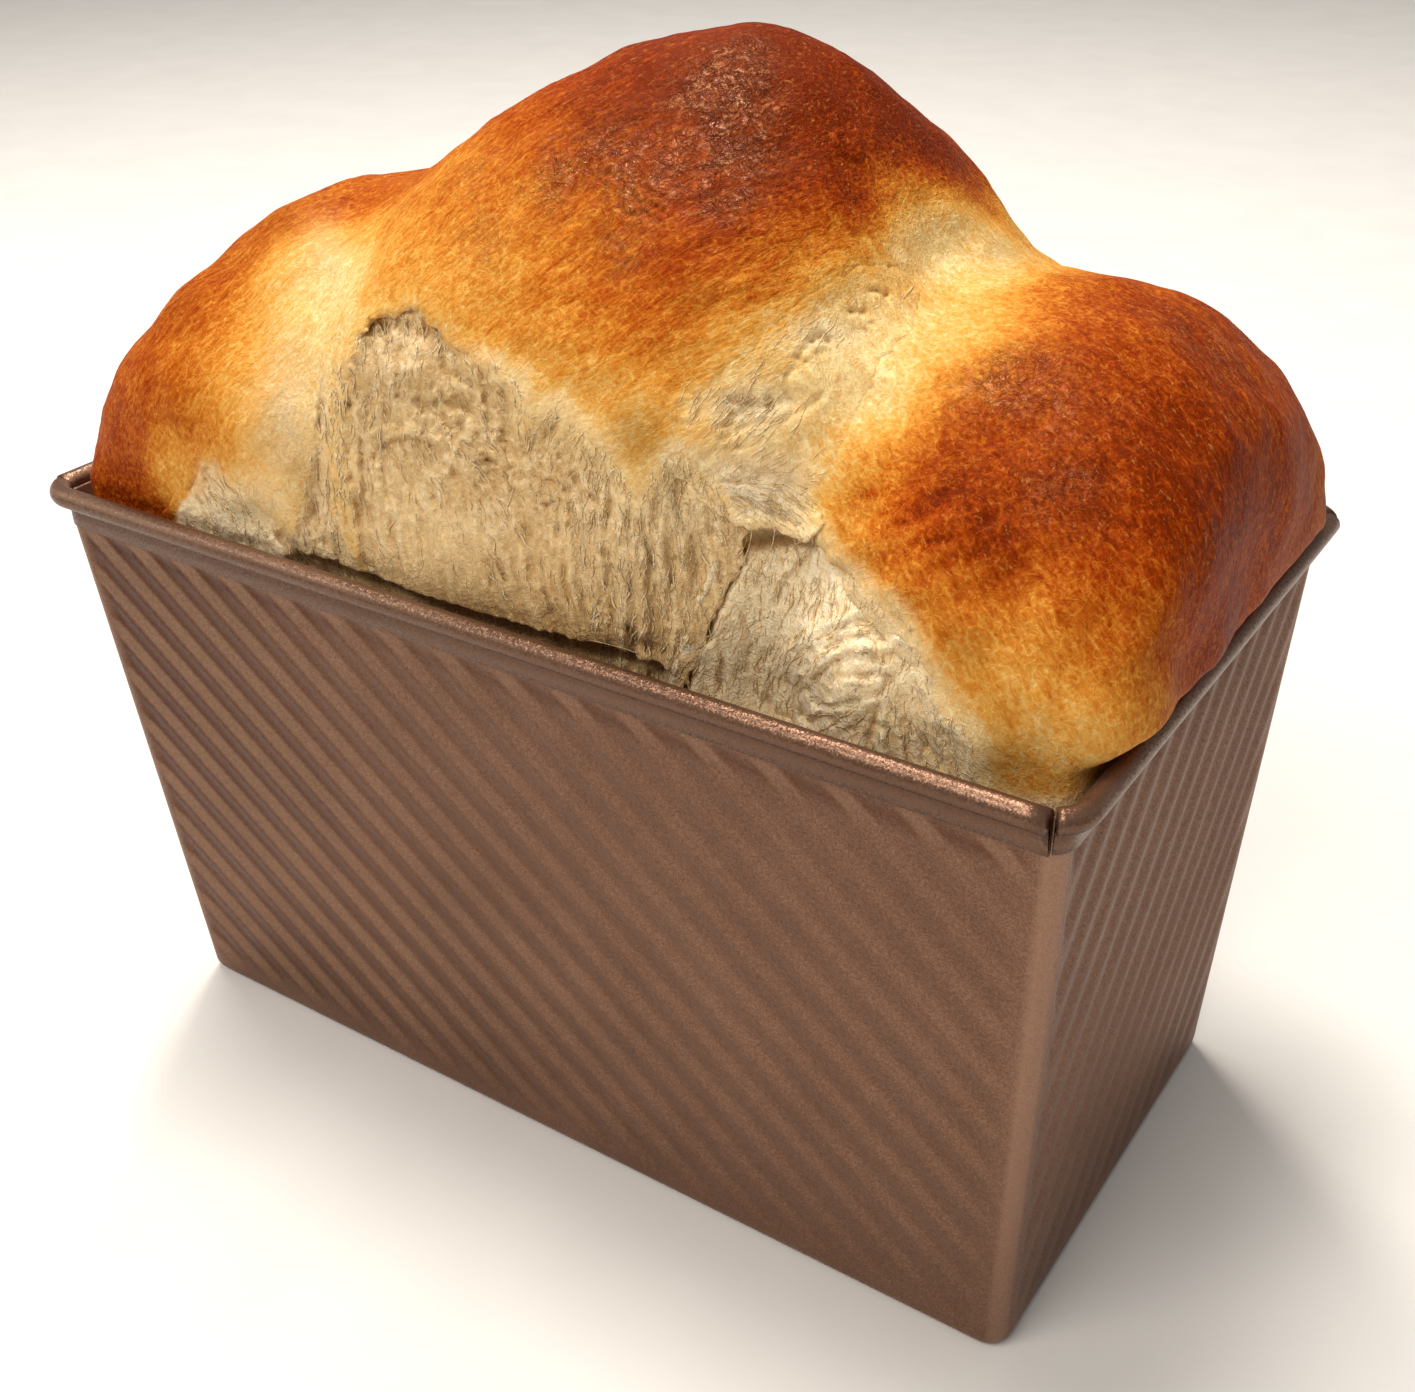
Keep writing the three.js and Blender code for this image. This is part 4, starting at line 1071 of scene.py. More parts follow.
def relief_v():
    g = Drawn((640, 934, 256, 546))
    u, v = g.u, g.v
    k = ss(455, 490, v) * ss(690, 720, u)
    st = threads(g, flow_v, 171, 0.06, 0.13)
    edge = np.clip(-VALLEY(u, v) / 14, 0, 1)
    torn = np.clip(ss(430, 480, v) + 0.8 * blob(u, v, 748, 408, 40, 18) + 0.4 * blob(u, v, 815, 340, 26, 14), 0, 1)
    rec = 0.2 * torn
    for cu, cv, ru, rv, dep in ((738, 399, 10, 5, 1.3), (752, 403, 8, 5, 1.6), (745, 412, 7, 4, 1.2), (734, 414, 5, 4, .9), (792, 400, 13, 9, 1.1), (770, 403, 4, 8, 1.6),
                                (812, 341, 4, 3, 1.2), (821, 337, 4, 3, 1.1), (829, 341, 3, 3, 1.0), (805, 349, 3, 3, .9), (798, 357, 4, 3, 1.1), (806, 362, 4, 2, .8),
                                (820, 353, 5, 4, .7), (788, 376, 3, 3, .8), (794, 369, 3, 2, .8), (852, 312, 5, 2, .9), (863, 313, 4, 3, 1.0), (874, 291, 6, 2, .8), (886, 295, 3, 3, .9),
                                (871, 324, 4, 2, .6), (862, 331, 6, 2, .5), (672, 486, 8, 12, 2.0), (700, 500, 12, 8, 1.4), (660, 520, 6, 12, 1.4), (730, 424, 8, 4, .9)):
        rec = rec + dep * blob(u, v, cu, cv, ru, rv) * (1 + 0.4 * N4(u / 5, v / 5, u * 0))
    rec = rec + g.creases([
        (((720, 440), (740, 428), (764, 420)), 3, 0.45), (((700, 462), (720, 450), (744, 446)), 3, 0.4), (((776, 424), (800, 412), (822, 396)), 3, 0.4),
        (((712, 494), (740, 500), (776, 512), (800, 524)), 2.4, 0.4), (((722, 480), (756, 486), (790, 500)), 2.4, 0.4), (((740, 466), (770, 474), (806, 490)), 3, 0.5)])
    rel = st * np.clip(edge * 0.6, 0, 1) * (0.12 + 0.88 * torn) * (1 + 0.3 * k)
    g.maps = (rec.astype(F), rel.astype(F))
    return g


SHOWN = []  # corners of all the loaf's meshes, for the strands that lie on them


def patch(name, field, depth, box, h, mat, lift):
    """a finely meshed piece of the loaf's surface, closed behind: depth says how far a point lies above the piece's back"""
    h = h * 1
    (x0, x1), (y0, y1), (z0, z1) = box
    xs, ys, zs = np.arange(x0, x1, h), np.arange(y0, y1, h), np.arange(z0, z1, h)

    def near_field(x, y, z):
        d = form(x, y, z)
        idx = np.nonzero(np.abs(d) < 9)
        if len(idx[0]):
            X, Y, Z = x[idx], y[idx], z[idx]
            d[idx] = field(d[idx] + bulk(X, Y, Z), X, Y, Z)
        return d

    V, Q = surface(sample(near_field, xs, ys, zs), xs, ys, zs)
    keep = (depth(V) > 0) & (V[:, 1] < y1 - 2 * h) & (V[:, 2] > z0 + 2 * h)
    keep &= biggest(V, Q[keep[Q].all(1)], 400)
    c = V[keep].mean(0)
    c = c - np.array([c[0] * 0.1, -20, 14], F)
    V2, Q2, T, used = cut_and_cap(V, Q, keep, c)
    Nn = np.concatenate([normals_of(V2[:-1], Q2), [[0, 1, 0]]]).astype(F)
    b, cr, gl, painted_shade = surface_look(V2, Nn)
    up = np.concatenate([lift(V2[:-1]), [0]]).astype(F)
    ob = make_mesh(name, V2, [Q2, T], True, {"bake": b, "crumb": cr, "gloss": gl, "painted_shade": painted_shade, "lift": up})
    dress(ob, mat, "loaf")
    SHOWN.append(V2[:-1])
    return ob


def soft_left(u, v):
    """where the left torn face runs into the crust without an edge"""
    t = v - 520 - 0.367 * (u - 178)
    return ss(184, 204, u) * ss(345, 330, u) * ss(-14, -34, t)


def soft_middle(u, v):
    return np.maximum(ss(446, 474, u) * ss(722, 700, u) * ss(540, 505, v), ss(374, 354, u) * ss(318, 342, v))


def soft_right(u, v):
    return ss(905, 935, u)


def torn_patch(name, region, relief, box, grow=2.2, soft=None, tone=None):
    def parts(x, y, z):
        P = np.stack([x, y, z], 1)
        u, v = project(P)
        rag = 4 * N1(u / 9, v / 9, v * 0) + 2 * N2(u / 4, v / 4, v * 0)
        e = (region(u, v) + rag) * 0.2
        rec, rel = relief(u, v)
        wall = e * 0.85 - grow
        if soft is None:
            return rec, rel * ss(0.0, -1.2, wall), wall
        k = soft(u, v)
        fade = ss(-0.6, -5.0, e)
        sunk = -0.05 + 1.3 * ss(-1.4, 4.0, e)
        return lerp(rec, sunk + rec * fade, k), rel * lerp(ss(0.0, -1.2, wall), fade, k), lerp(wall, e - 3.4, k)

    def field(d, x, y, z):
        rec, rel, wall = parts(x, y, z)
        return np.maximum(d + rec - rel, wall)

    def depth(V):
        x, y, z = V.T
        rec, rel, wall = parts(x, y, z)
        return form(x, y, z) + bulk(x, y, z) + rec + 2.8

    # painted light and shade: the crumb is lighter on its raised strands, darker where it lies back, plus the face's
    # own tone
    def lift(V):
        rec, rel, wall = parts(*V.T)
        return rel * 1.3 - rec * 0.3 + tone(*project(V))

    return patch(name, field, depth, box, 0.42, CRUMB, lift)


def fine_patch(name, c, r, h=0.46):
    box = tuple((c[k] - r - 7, c[k] + r + 7) for k in range(3))

    def field(d, x, y, z):
        e = fine_edge(x, y, z, c, r)
        off = -0.05 + 1.3 * ss(-1.0, 5.0, e)
        return np.maximum(d - crust_relief(x, y, z) + off, e - 4.0)

    def depth(V):
        x, y, z = V.T
        return form(x, y, z) + bulk(x, y, z) + 1.9

    def lift(V):
        return crust_relief(*V.T)

    return patch(name, field, depth, box, h, BREAD, lift)


def valley_patch():
    relief = relief_v()

    def off(u, v):
        rag = 4 * N1(u / 9, v / 9, v * 0) + 2 * N2(u / 4, v / 4, v * 0)
        return (VALLEY(u, v) + rag) * 0.2

    def field(d, x, y, z):
        u, v = project(np.stack([x, y, z], 1))
        e = off(u, v)
        rec, rel = relief(u, v)
        k = ss(-0.2, -2.5, e)
        # the lower border is a free torn edge, the others sink into the crust
        lip = ss(474, 536, v + 8 * N3(u / 20, v / 20, v * 0)) * ss(684, 722, u)
        sink = lerp(-0.05 + 1.3 * ss(-1.4, 4.0, e), -0.5 + 0 * e, lip)
        d = d - crust_relief(x, y, z) + sink + k * (rec - rel)
        return np.maximum(d, e - lerp(3.4, 0.2, lip))

    def depth(V):
        x, y, z = V.T
        u, v = project(V)
        lip = ss(505, 525, v) * ss(690, 715, u)
        return form(x, y, z) + bulk(x, y, z) + 2.6 - 1.0 * lip

    # painted light: the valley's skin is brightened, more on its raised relief and less where it lies back
    def lift(V):
        u, v = project(V)
        rec, rel = relief(u, v)
        return (2.5 + rel * 1.1 - rec * 0.4) * ss(-0.2, -2.5, off(u, v))

    return patch("valley_skin", field, depth, ((26, 68), (-58, 2), (126, 174)), 0.40, BREAD, lift)


crust = build_crust()
# tone is painted light and shade over each torn face: the middle one darker low down and lighter on the right, the
# right and left ones brightened
torn_patch("crumb_middle", CRUMB_M, relief_m(), ((-44, 50), (-60, -28), (101, 166)), soft=soft_middle,
           tone=lambda u, v: 0.1 - 1.1 * ss(500, 640, v) + 0.6 * ss(560, 620, u))
torn_patch("crumb_right", CRUMB_R, relief_r(), ((28, 100), (-62, -30), (101, 150)), soft=soft_right,
           tone=lambda u, v: 1.5 - 0.4 * ss(620, 700, v) * ss(800, 840, u))
torn_patch("crumb_left", CRUMB_L, relief_l(), ((-82, -14), (-62, -28), (101, 162)), soft=soft_left,
           tone=lambda u, v: 1.1 + 0 * u)
valley_patch()
fine_patch("crust_crown", *FINE[0])
fine_patch("crust_right", *FINE[1])

# ------------------------------------------------------ strands of crumb
class Depth:
    """how far the loaf's surface lies from the camera, over the picture"""

    def __init__(self, clouds, cell=3.0):
        self.c = cell
        self.nx, self.ny = int(1415 / cell) + 2, int(900 / cell) + 2
        z = np.full(self.nx * self.ny, 1e6, F)
        for V in clouds:
            V = V[(V[:, 2] > 99) & (V[:, 1] < 25)]
            u, v = project(V)
            w = (V - CAM_AT.astype(F)) @ CAM_AHEAD.astype(F)
            i = np.clip((u / cell).astype(int), 0, self.nx - 1); j = np.clip((v / cell).astype(int), 0, self.ny - 1)
            np.minimum.at(z, j * self.nx + i, w)
        z = z.reshape(self.ny, self.nx)
        for _ in range(3):
            e = np.pad(z, 1, mode="edge")
            nb = np.min([e[1:-1, :-2], e[1:-1, 2:], e[:-2, 1:-1], e[2:, 1:-1]], 0)
            z = np.where(z > 1e5, nb, z)
        self.z = z

    def __call__(self, u, v):
        x = np.clip(u / self.c - 0.5, 0, self.nx - 1.01); y = np.clip(v / self.c - 0.5, 0, self.ny - 1.01)
        i, j = x.astype(int), y.astype(int)
        x = x - i; y = y - j
        z = self.z
        return (z[j, i] * (1 - x) + z[j, i + 1] * x) * (1 - y) + (z[j + 1, i] * (1 - x) + z[j + 1, i + 1] * x) * y


def in_space(u, v, w):
    """the point in mm at a place in the picture and a depth"""
    k = ((u - CX) / FOCAL * w)[..., None]; m_ = ((v - CY) / FOCAL * w)[..., None]
    return CAM_AT + k * CAM_RIGHT + m_ * CAM_DOWN + w[..., None] * CAM_AHEAD


def grow_strands(rng, n, region, flow, inside, length, radius, lift, sink, spread, weight=None, outside=3.0, band=1e9):
    """n strands that start within a region and follow its flow: points in mm, radii in mm"""
    K = 10
    box = np.argwhere((region.s < -inside) & (region.s > -inside - band))
    if weight is not None:
        pu = box[:, 1] * 2.0; pv = box[:, 0] * 2.0
        pr = weight(pu, pv); pr = pr / pr.sum()
        pick = box[rng.choice(len(box), n, p=pr)]
    else:
        pick = box[rng.integers(0, len(box), n)]
    u = pick[:, 1] * 2.0 + rng.uniform(-1, 1, n); v = pick[:, 0] * 2.0 + rng.uniform(-1, 1, n)
    L = length[0] + (length[1] - length[0]) * rng.random(n) ** 2
    a0 = rng.normal(0, spread, n)
    bend = rng.normal(0, spread * 0.9, n)
    ph = rng.uniform(0, 6.3, n)
    U = np.empty((n, K + 1)); Vv = np.empty((n, K + 1))
    U[:, 0], Vv[:, 0] = u, v
    for k in range(K):
        a = flow(u, v) + a0 + bend * (k / K * 2 - 1) + 0.25 * spread / 0.2 * np.sin(ph + k * 0.9)
        u = u + np.sin(a) * L / K; v = v + np.cos(a) * L / K
        U[:, k + 1], Vv[:, k + 1] = u, v
    D = DEPTH(U, Vv)
    ok = (np.abs(np.diff(D, axis=1)).max(1) < 2.6) & (D.max(1) < 1e4)
    ok &= (region(U.astype(F), Vv.astype(F)).max(1) < outside)
    U, Vv, D, L = U[ok], Vv[ok], D[ok], L[ok]
    e = np.pad(D, ((0, 0), (2, 2)), mode="edge")
    S = (e[:, :-4] + e[:, 1:-3] + e[:, 2:-2] + e[:, 3:-1] + e[:, 4:]) / 5
    D = np.minimum(D + 0.05, S)
    t = np.linspace(0, 1, K + 1)
    amp = (lift[0] + (lift[1] - lift[0]) * rng.random(len(D)) ** 2)[:, None]
    D = D - amp * np.sin(np.pi * t) + sink * (1 - ss(0, 0.16, t) * ss(1, 0.84, t))
    R = (radius[0] + (radius[1] - radius[0]) * rng.random(len(D)) ** 1.6)[:, None] * (0.12 + 0.88 * ss(0, 0.2, t) * ss(1, 0.75, t))
    R = R * (1 + 0.25 * np.sin(rng.uniform(0, 6.3, (len(D), 1)) + t * 9))
    return in_space(U, Vv, D), R


def bridge(rng, ends, K=10):
    """strands that hang across a hollow between two places in the picture"""
    P, R = [], []
    t = np.linspace(0, 1, K + 1)
    for ua, va, ub, vb, r, bow in ends:
        U = ua + (ub - ua) * t + bow * np.sin(np.pi * t); Vv = va + (vb - va) * t
        da, db = DEPTH(np.array([ua, ub], float), np.array([va, vb], float))
        D = da + (db - da) * t + 0.3 * (1 - ss(0, 0.15, t) * ss(1, 0.85, t))
        P.append(in_space(U, Vv, D)); R.append(r * (0.5 + 0.5 * np.abs(t * 2 - 1) ** 1.5 + 0.1 * np.sin(t * 17 + ua)))
    return np.array(P), np.array(R)


def thread_mesh(name, groups, lift, crumb):
    """every strand as a thin closed tube, three sides round"""
    V, T, up, cr = [], [], [], []
    base = 0
    for (P, R), lf, cb in zip(groups, lift, crumb):
        n, k = R.shape
        tan = np.gradient(P, axis=1); tan /= np.linalg.norm(tan, axis=2, keepdims=True) + 1e-9
        eye = CAM_AT - P; eye /= np.linalg.norm(eye, axis=2, keepdims=True)
        side = np.cross(tan, eye); side /= np.linalg.norm(side, axis=2, keepdims=True) + 1e-9
        out = np.cross(side, tan)
        ringv = np.stack([P - side * R[..., None], P + side * R[..., None], P + out * (R * 0.95)[..., None]], 2)
        V.append(ringv.reshape(-1, 3))
        i = (np.arange(n)[:, None, None] * k + np.arange(k - 1)[None, :, None]) * 3
        c = np.arange(3)[None, None, :]; d = (np.arange(3)[None, None, :] + 1) % 3
        a_, b_ = i + c, i + d
        T.append(np.stack([a_, b_, b_ + 3, a_ + 3], -1).reshape(-1, 4)[:, ::-1] + base)
        m0 = np.arange(n) * k * 3
        caps.append(np.stack([m0, m0 + 1, m0 + 2], 1)[:, ::1] + base)
        m1 = m0 + (k - 1) * 3
        caps.append(np.stack([m1, m1 + 2, m1 + 1], 1) + base)
        base += n * k * 3
        up.append(np.full(n * k * 3, lf) + np.repeat(np.random.default_rng(5).normal(0, 0.35, n), k * 3))
        cr.append(np.full(n * k * 3, cb))
    V = np.concatenate(V)
    z = np.zeros(len(V), F)
    ob = make_mesh(name, V, [np.concatenate(T), np.concatenate(caps)], True,
                   {"bake": z + 0.04, "crumb": np.concatenate(cr), "gloss": z, "lift": np.concatenate(up)})
    dress(ob, STRAND, "loaf")
    return ob


caps = []
DEPTH = Depth(SHOWN)
rng = np.random.default_rng(2024)
FEW = 1.0
FACE_M = grow_strands(rng, int(900 * FEW), CRUMB_M, flow_m, 4, (10, 40), (0.05, 0.15), (0.0, 0.28), 0.25, 0.24,
                      lambda u, v: 0.3 + 0.9 * ss(540, 600, u) + 0.3 * ss(390, 355, u) + 0.8 * blob(u, v, 510, 395, 40, 35)
                      - 0.2 * blob(u, v, 455, 565, 70, 60) + 0.4 * ss(600, 640, v))
FACE_R = grow_strands(rng, int(560 * FEW), CRUMB_R, flow_r, 4, (10, 40), (0.05, 0.14), (0.0, 0.28), 0.25, 0.24)
FACE_L = grow_strands(rng, int(220 * FEW), CRUMB_L, flow_l, 4, (14, 50), (0.05, 0.15), (0.0, 0.28), 0.25, 0.16)
SKIN = grow_strands(rng, int(240 * FEW), VALLEY, flow_v, 6, (14, 46), (0.04, 0.12), (0.0, 0.14), 0.22, 0.13,
                    lambda u, v: 0.01 + 1.2 * ss(460, 500, v) * ss(690, 715, u) + 0.5 * blob(u, v, 735, 425, 40, 26) + 0.12 * blob(u, v, 815, 345, 26, 14))
EDGE_M = grow_strands(rng, int(200 * FEW), CRUMB_M, flow_m, -4, (10, 34), (0.06, 0.16), (0.05, 0.3), 0.2, 0.3,
                      lambda u, v: ss(520, 480, v) + 0.02, 9.0, 9.0)
EDGE_R = grow_strands(rng, int(110 * FEW), CRUMB_R, flow_r, -4, (8, 26), (0.05, 0.13), (0.05, 0.3), 0.2, 0.35, None, 9.0, 9.0)
ACROSS = bridge(rng, [
    (372, 322, 366, 352, .16, 2), (385, 318, 390, 350, .14, -2), (396, 316, 388, 350, .18, 1), (401, 310, 408, 346, .2, 2), (409, 309, 404, 348, .17, -2),
    (417, 312, 424, 350, .2, 2), (428, 326, 420, 352, .16, 0), (436, 330, 446, 352, .18, 1), (442, 330, 432, 356, .13, -2), (361, 330, 356, 372, .2, 3),
    (390, 318, 402, 345, .1, 3), (405, 310, 396, 345, .1, 0), (422, 316, 410, 350, .12, 2), (700, 545, 730, 556, .12, 0), (706, 574, 726, 566, .16, 2),
    (712, 590, 722, 568, .13, 3), (727, 548, 716, 600, .1, 4), (752, 526, 744, 560, .12, 2), (775, 528, 762, 566, .12, 3), (790, 531, 800, 566, .1, 2),
    (735, 528, 720, 560, .14, -3), (742, 402, 756, 396, .14, 0), (736, 406, 742, 394, .12, 1), (748, 408, 752, 393, .1, 0), (770, 402, 776, 414, .12, 1),
    (812, 340, 816, 350, .1, 0), (490, 556, 508, 590, .1, 0), (518, 404, 526, 432, .12, 1), (590, 640, 640, 654, .12, 3), (696, 600, 712, 640, .14, 2),
    (620, 610, 628, 660, .14, 2), (640, 606, 652, 664, .15, -2), (604, 600, 600, 650, .12, 2),
])
thread_mesh("crumb_strands", [FACE_M, FACE_R, FACE_L, SKIN, EDGE_M, EDGE_R, ACROSS], [0.35, 0.35, 0.35, 0.4, 0.4, 0.4, 0.5],
            [1.0, 1.0, 1.0, 0.7, 0.8, 0.85, 1.0])

# --------------------------------------------------------------- the tin
CORNER = 3.2
SHEET = 0.8
FOOT = 3.0
DZ = 1.3125
SX, SY = 1.4993, 0.98


def zigzag(ph, pitch, crest, fall):
    """0..1 over one pitch: 1 at the crest, down to 0 over the upper flank, and back up over the lower one"""
    out = 0
    for k in (-0.55, -0.28, 0.0, 0.28, 0.55):
        t = np.mod(ph + k - crest, pitch)
        out = out + np.where(t < fall, 1 - t / fall, (t - fall) / (pitch - fall))
    return out / 5


def rib(side, a, z, half):
    """how far the sheet stands out of its plane, a along the wall as seen from outside, in mm"""
    top = ss(107.1, 105.9, z)
    foot = ss(3.4, 8.5, z)
    if side in ("front", "back"):
        q = a * math.sin(math.radians(41.2)) + z * math.cos(math.radians(41.2))
        q = q + 0.22 * np.sin(a / 23 + z / 31)
        p = zigzag(q, 7.9, 2.15, 3.35)
        edge = ss(half - 0.2, half - 4.0, a) * ss(-half + 0.2, -half + 2.5, a)
        soft = 1 - 0.45 * ss(25, 85, a) * ss(45, 5, z) - 0.2 * ss(-20, 60, a)
        return (0.30 - 1.25 * (1 - p)) * top * foot * edge * soft
    q = -a * math.sin(math.radians(57.0)) + z * math.cos(math.radians(57.0))
    q = q + 0.2 * np.sin(a / 19 + z / 27)
    p = zigzag(q, 8.2, 5.4, 2.7)
    edge = ss(half - 0.2, half - 3.5, a) * ss(-half + 0.2, -half + 2.5, a)
    soft = 1 - 0.4 * ss(50, 10, z)
    return (0.26 - 1.05 * (1 - p)) * top * foot * edge * soft


def tin_ring(z, out, ribs, wall_z=None):
    hx0, hy0 = half_at(np.float64(z if wall_z is None else wall_z))
    hx, hy = hx0 + out, hy0 + out
    r = max(CORNER + 1.3 * (1 - min(z / TH, 1)) + out, 0.5)
    ex, ey = hx - r, hy - r
    nx, ny = int(98 / SX), int(53.4 / SY)
    jx = np.clip(np.arange(-nx, nx + 1) * SX, -ex, ex); jx[0], jx[-1] = -ex, ex
    jy = np.clip(np.arange(-ny, ny + 1) * SY, -ey, ey); jy[0], jy[-1] = -ey, ey
    dx = rib("front", jx, z, ex) if ribs else 0 * jx
    dy = rib("right", jy, z, ey) if ribs else 0 * jy
    arc = np.radians(np.linspace(0, 90, 8)[1:-1])
    pts = []

    def corner(cx, cy, a0):
        for t in arc:
            pts.append(np.array([[cx + r * math.cos(a0 + t), cy + r * math.sin(a0 + t)]]))

    pts.append(np.stack([jx, -(hy + dx)], 1)); corner(ex, -ey, -math.pi / 2)
    pts.append(np.stack([hx + dy, jy], 1)); corner(ex, ey, 0)
    pts.append(np.stack([-jx, hy + dx], 1)); corner(-ex, ey, math.pi / 2)
    pts.append(np.stack([-(hx + dy), -jy], 1)); corner(-ex, -ey, math.pi)
    p = np.concatenate(pts)
    return np.concatenate([p, np.full((len(p), 1), z)], 1)


def loft(rings, first=None, last=None):
    """closed skin over rings of equal length; doubled points are merged and flat faces dropped"""
    n = len(rings[0]); m = len(rings)
    V = np.concatenate(rings)
    i = np.arange(n); j = np.arange(m - 1)[:, None]
    a = j * n + i; b = j * n + (i + 1) % n
    Q = np.stack([a, b, b + n, a + n], -1).reshape(-1, 4)
    T = []
    if first is not None:
        V = np.concatenate([V, [first]])
        T.append(np.stack([np.full(n, len(V) - 1), (i + 1) % n, i], 1))
    if last is not None:
        V = np.concatenate([V, [last]])
        o = (m - 1) * n
        T.append(np.stack([np.full(n, len(V) - 1), o + i, o + (i + 1) % n], 1))
    key = np.round(V * 2000).astype(np.int64)
    _, keep, inv = np.unique(key, axis=0, return_index=True, return_inverse=True)
    inv = inv.reshape(-1)
    V = V[keep]; Q = inv[Q]
    tri = [inv[t] for t in T]
    same = np.stack([Q[:, k] == Q[:, (k + 1) % 4] for k in range(4)], 1)
    cnt = same.sum(1)
    one = Q[cnt == 1]; so = same[cnt == 1]
    if len(one):
        drop = (so.argmax(1) + 1) % 4
        rows = np.array([[k for k in range(4) if k != d] for d in range(4)])[drop]
        tri.append(np.take_along_axis(one, rows, 1))
    Q = Q[cnt == 0]
    tri = np.concatenate(tri) if tri else np.zeros((0, 3), int)
    tri = tri[(tri[:, 0] != tri[:, 1]) & (tri[:, 1] != tri[:, 2]) & (tri[:, 0] != tri[:, 2])]
    return V, Q, tri


def tin_material():
    n = Nodes("tin_coating")
    p = n.pos()
    vor = n.voronoi(p, 4600, out="Color")
    flake = n.t.nodes.new("ShaderNodeSeparateColor")
    n.link(vor, flake.inputs[0])
    cloud = n.noise(p, 38, 4.0, 0.6)
    smear = n.noise(n.scaled(p, (90, 90, 14)), 1.0, 3.0, 0.6)
    fine = n.noise(p, 2200, 2.0, 0.6)
    tone = n.math("ADD", n.math("MULTIPLY", flake.outputs[0], 0.35), n.math("MULTIPLY", cloud, 0.35))
    tone = n.math("ADD", tone, n.math("MULTIPLY", fine, 0.3))
    col = n.ramp(tone, [(0.15, srgb(92, 65, 51)), (0.5, srgb(119, 87, 69)), (0.9, srgb(154, 118, 96))])
    # lighter along the shell's rounded corners, and along the hem's crest as a painted highlight
    lighter_edges_and_painted_crest = n.remap(n.attr("edge"), 0.0, 1.0, 0.0, 0.5)
    col = n.mix(lighter_edges_and_painted_crest, col, srgb(168, 132, 110))
    # painted shade: the ribs' lower flanks are darkened, most of all in the pockets at their upper ends, and their
    # upper flanks lightened with painted light
    t = n.math("FRACT", n.attr("phase"))
    flank = n.math("SUBTRACT", 1.0, n.math("MULTIPLY", n.remap(t, 0.23, 0.39, smooth=True), n.remap(t, 0.71, 0.55, smooth=True)))
    painted_under_shade = n.math("MULTIPLY", flank, n.attr("shade"), clamp=True)
    painted_upper_flank_light = n.math("MULTIPLY", n.math("SUBTRACT", 1.0, flank), n.math("MULTIPLY", n.attr("shade"), 0.34), clamp=True)
    col = n.mix(painted_upper_flank_light, col, srgb(160, 130, 108))
    col = n.mix(painted_under_shade, col, srgb(74, 36, 11))
    # painted shade: darker on the roll's underside and on the flat band below it
    col = n.mix(n.attr("painted_under_shade"), col, srgb(58, 40, 32))
    hem = n.attr("hem")
    # the hem is darkened, less so along its crest, where a highlight is painted
    hem_dark_off_crest = n.math("SUBTRACT", 0.62, n.math("MULTIPLY", n.attr("edge"), 0.55))
    col = n.mix(n.math("MULTIPLY", hem, hem_dark_off_crest), col, srgb(84, 56, 38))
    # painted highlight: the hem's crest is lightened further, most at the left
    col = n.mix(n.math("MULTIPLY", hem, n.math("MULTIPLY", n.attr("edge"), 0.45)), col, srgb(200, 162, 138))
    n.link(col, n.bsdf.inputs["Base Color"])
    n.bsdf.inputs["Metallic"].default_value = 0.7
    n.bsdf.inputs["Specular IOR Level"].default_value = 0.25
    bare = n.math("SUBTRACT", 0.18, n.math("MULTIPLY", n.attr("painted_under_shade"), 0.34), clamp=True)
    n.link(n.math("MULTIPLY", hem, bare), n.bsdf.inputs["Coat Weight"])
    n.bsdf.inputs["Coat Roughness"].default_value = 0.34
    r = n.math("ADD", n.remap(flake.outputs[1], 0, 1, 0.40, 0.60), n.math("MULTIPLY", n.math("SUBTRACT", smear, 0.5), 0.1))
    r = n.math("SUBTRACT", r, n.math("MULTIPLY", hem, 0.13))
    n.link(r, n.bsdf.inputs["Roughness"])
    # each metal flake in the coating lies a little askew
    tilt = n.t.nodes.new("ShaderNodeVectorMath"); tilt.operation = "SUBTRACT"
    n.link(vor, tilt.inputs[0]); tilt.inputs[1].default_value = (0.5, 0.5, 0.5)
    amount = n.t.nodes.new("ShaderNodeVectorMath"); amount.operation = "SCALE"
    n.link(tilt.outputs[0], amount.inputs[0]); amount.inputs[3].default_value = 0.28
    geo = n.t.nodes.new("ShaderNodeNewGeometry")
    both = n.t.nodes.new("ShaderNodeVectorMath"); both.operation = "ADD"
    n.link(geo.outputs["Normal"], both.inputs[0]); n.link(amount.outputs[0], both.inputs[1])
    unit = n.t.nodes.new("ShaderNodeVectorMath"); unit.operation = "NORMALIZE"
    n.link(both.outputs[0], unit.inputs[0])
    n.link(unit.outputs[0], n.bsdf.inputs["Normal"])
    n.link(unit.outputs[0], n.bsdf.inputs["Coat Normal"])
    return n.mat


TIN = tin_material()


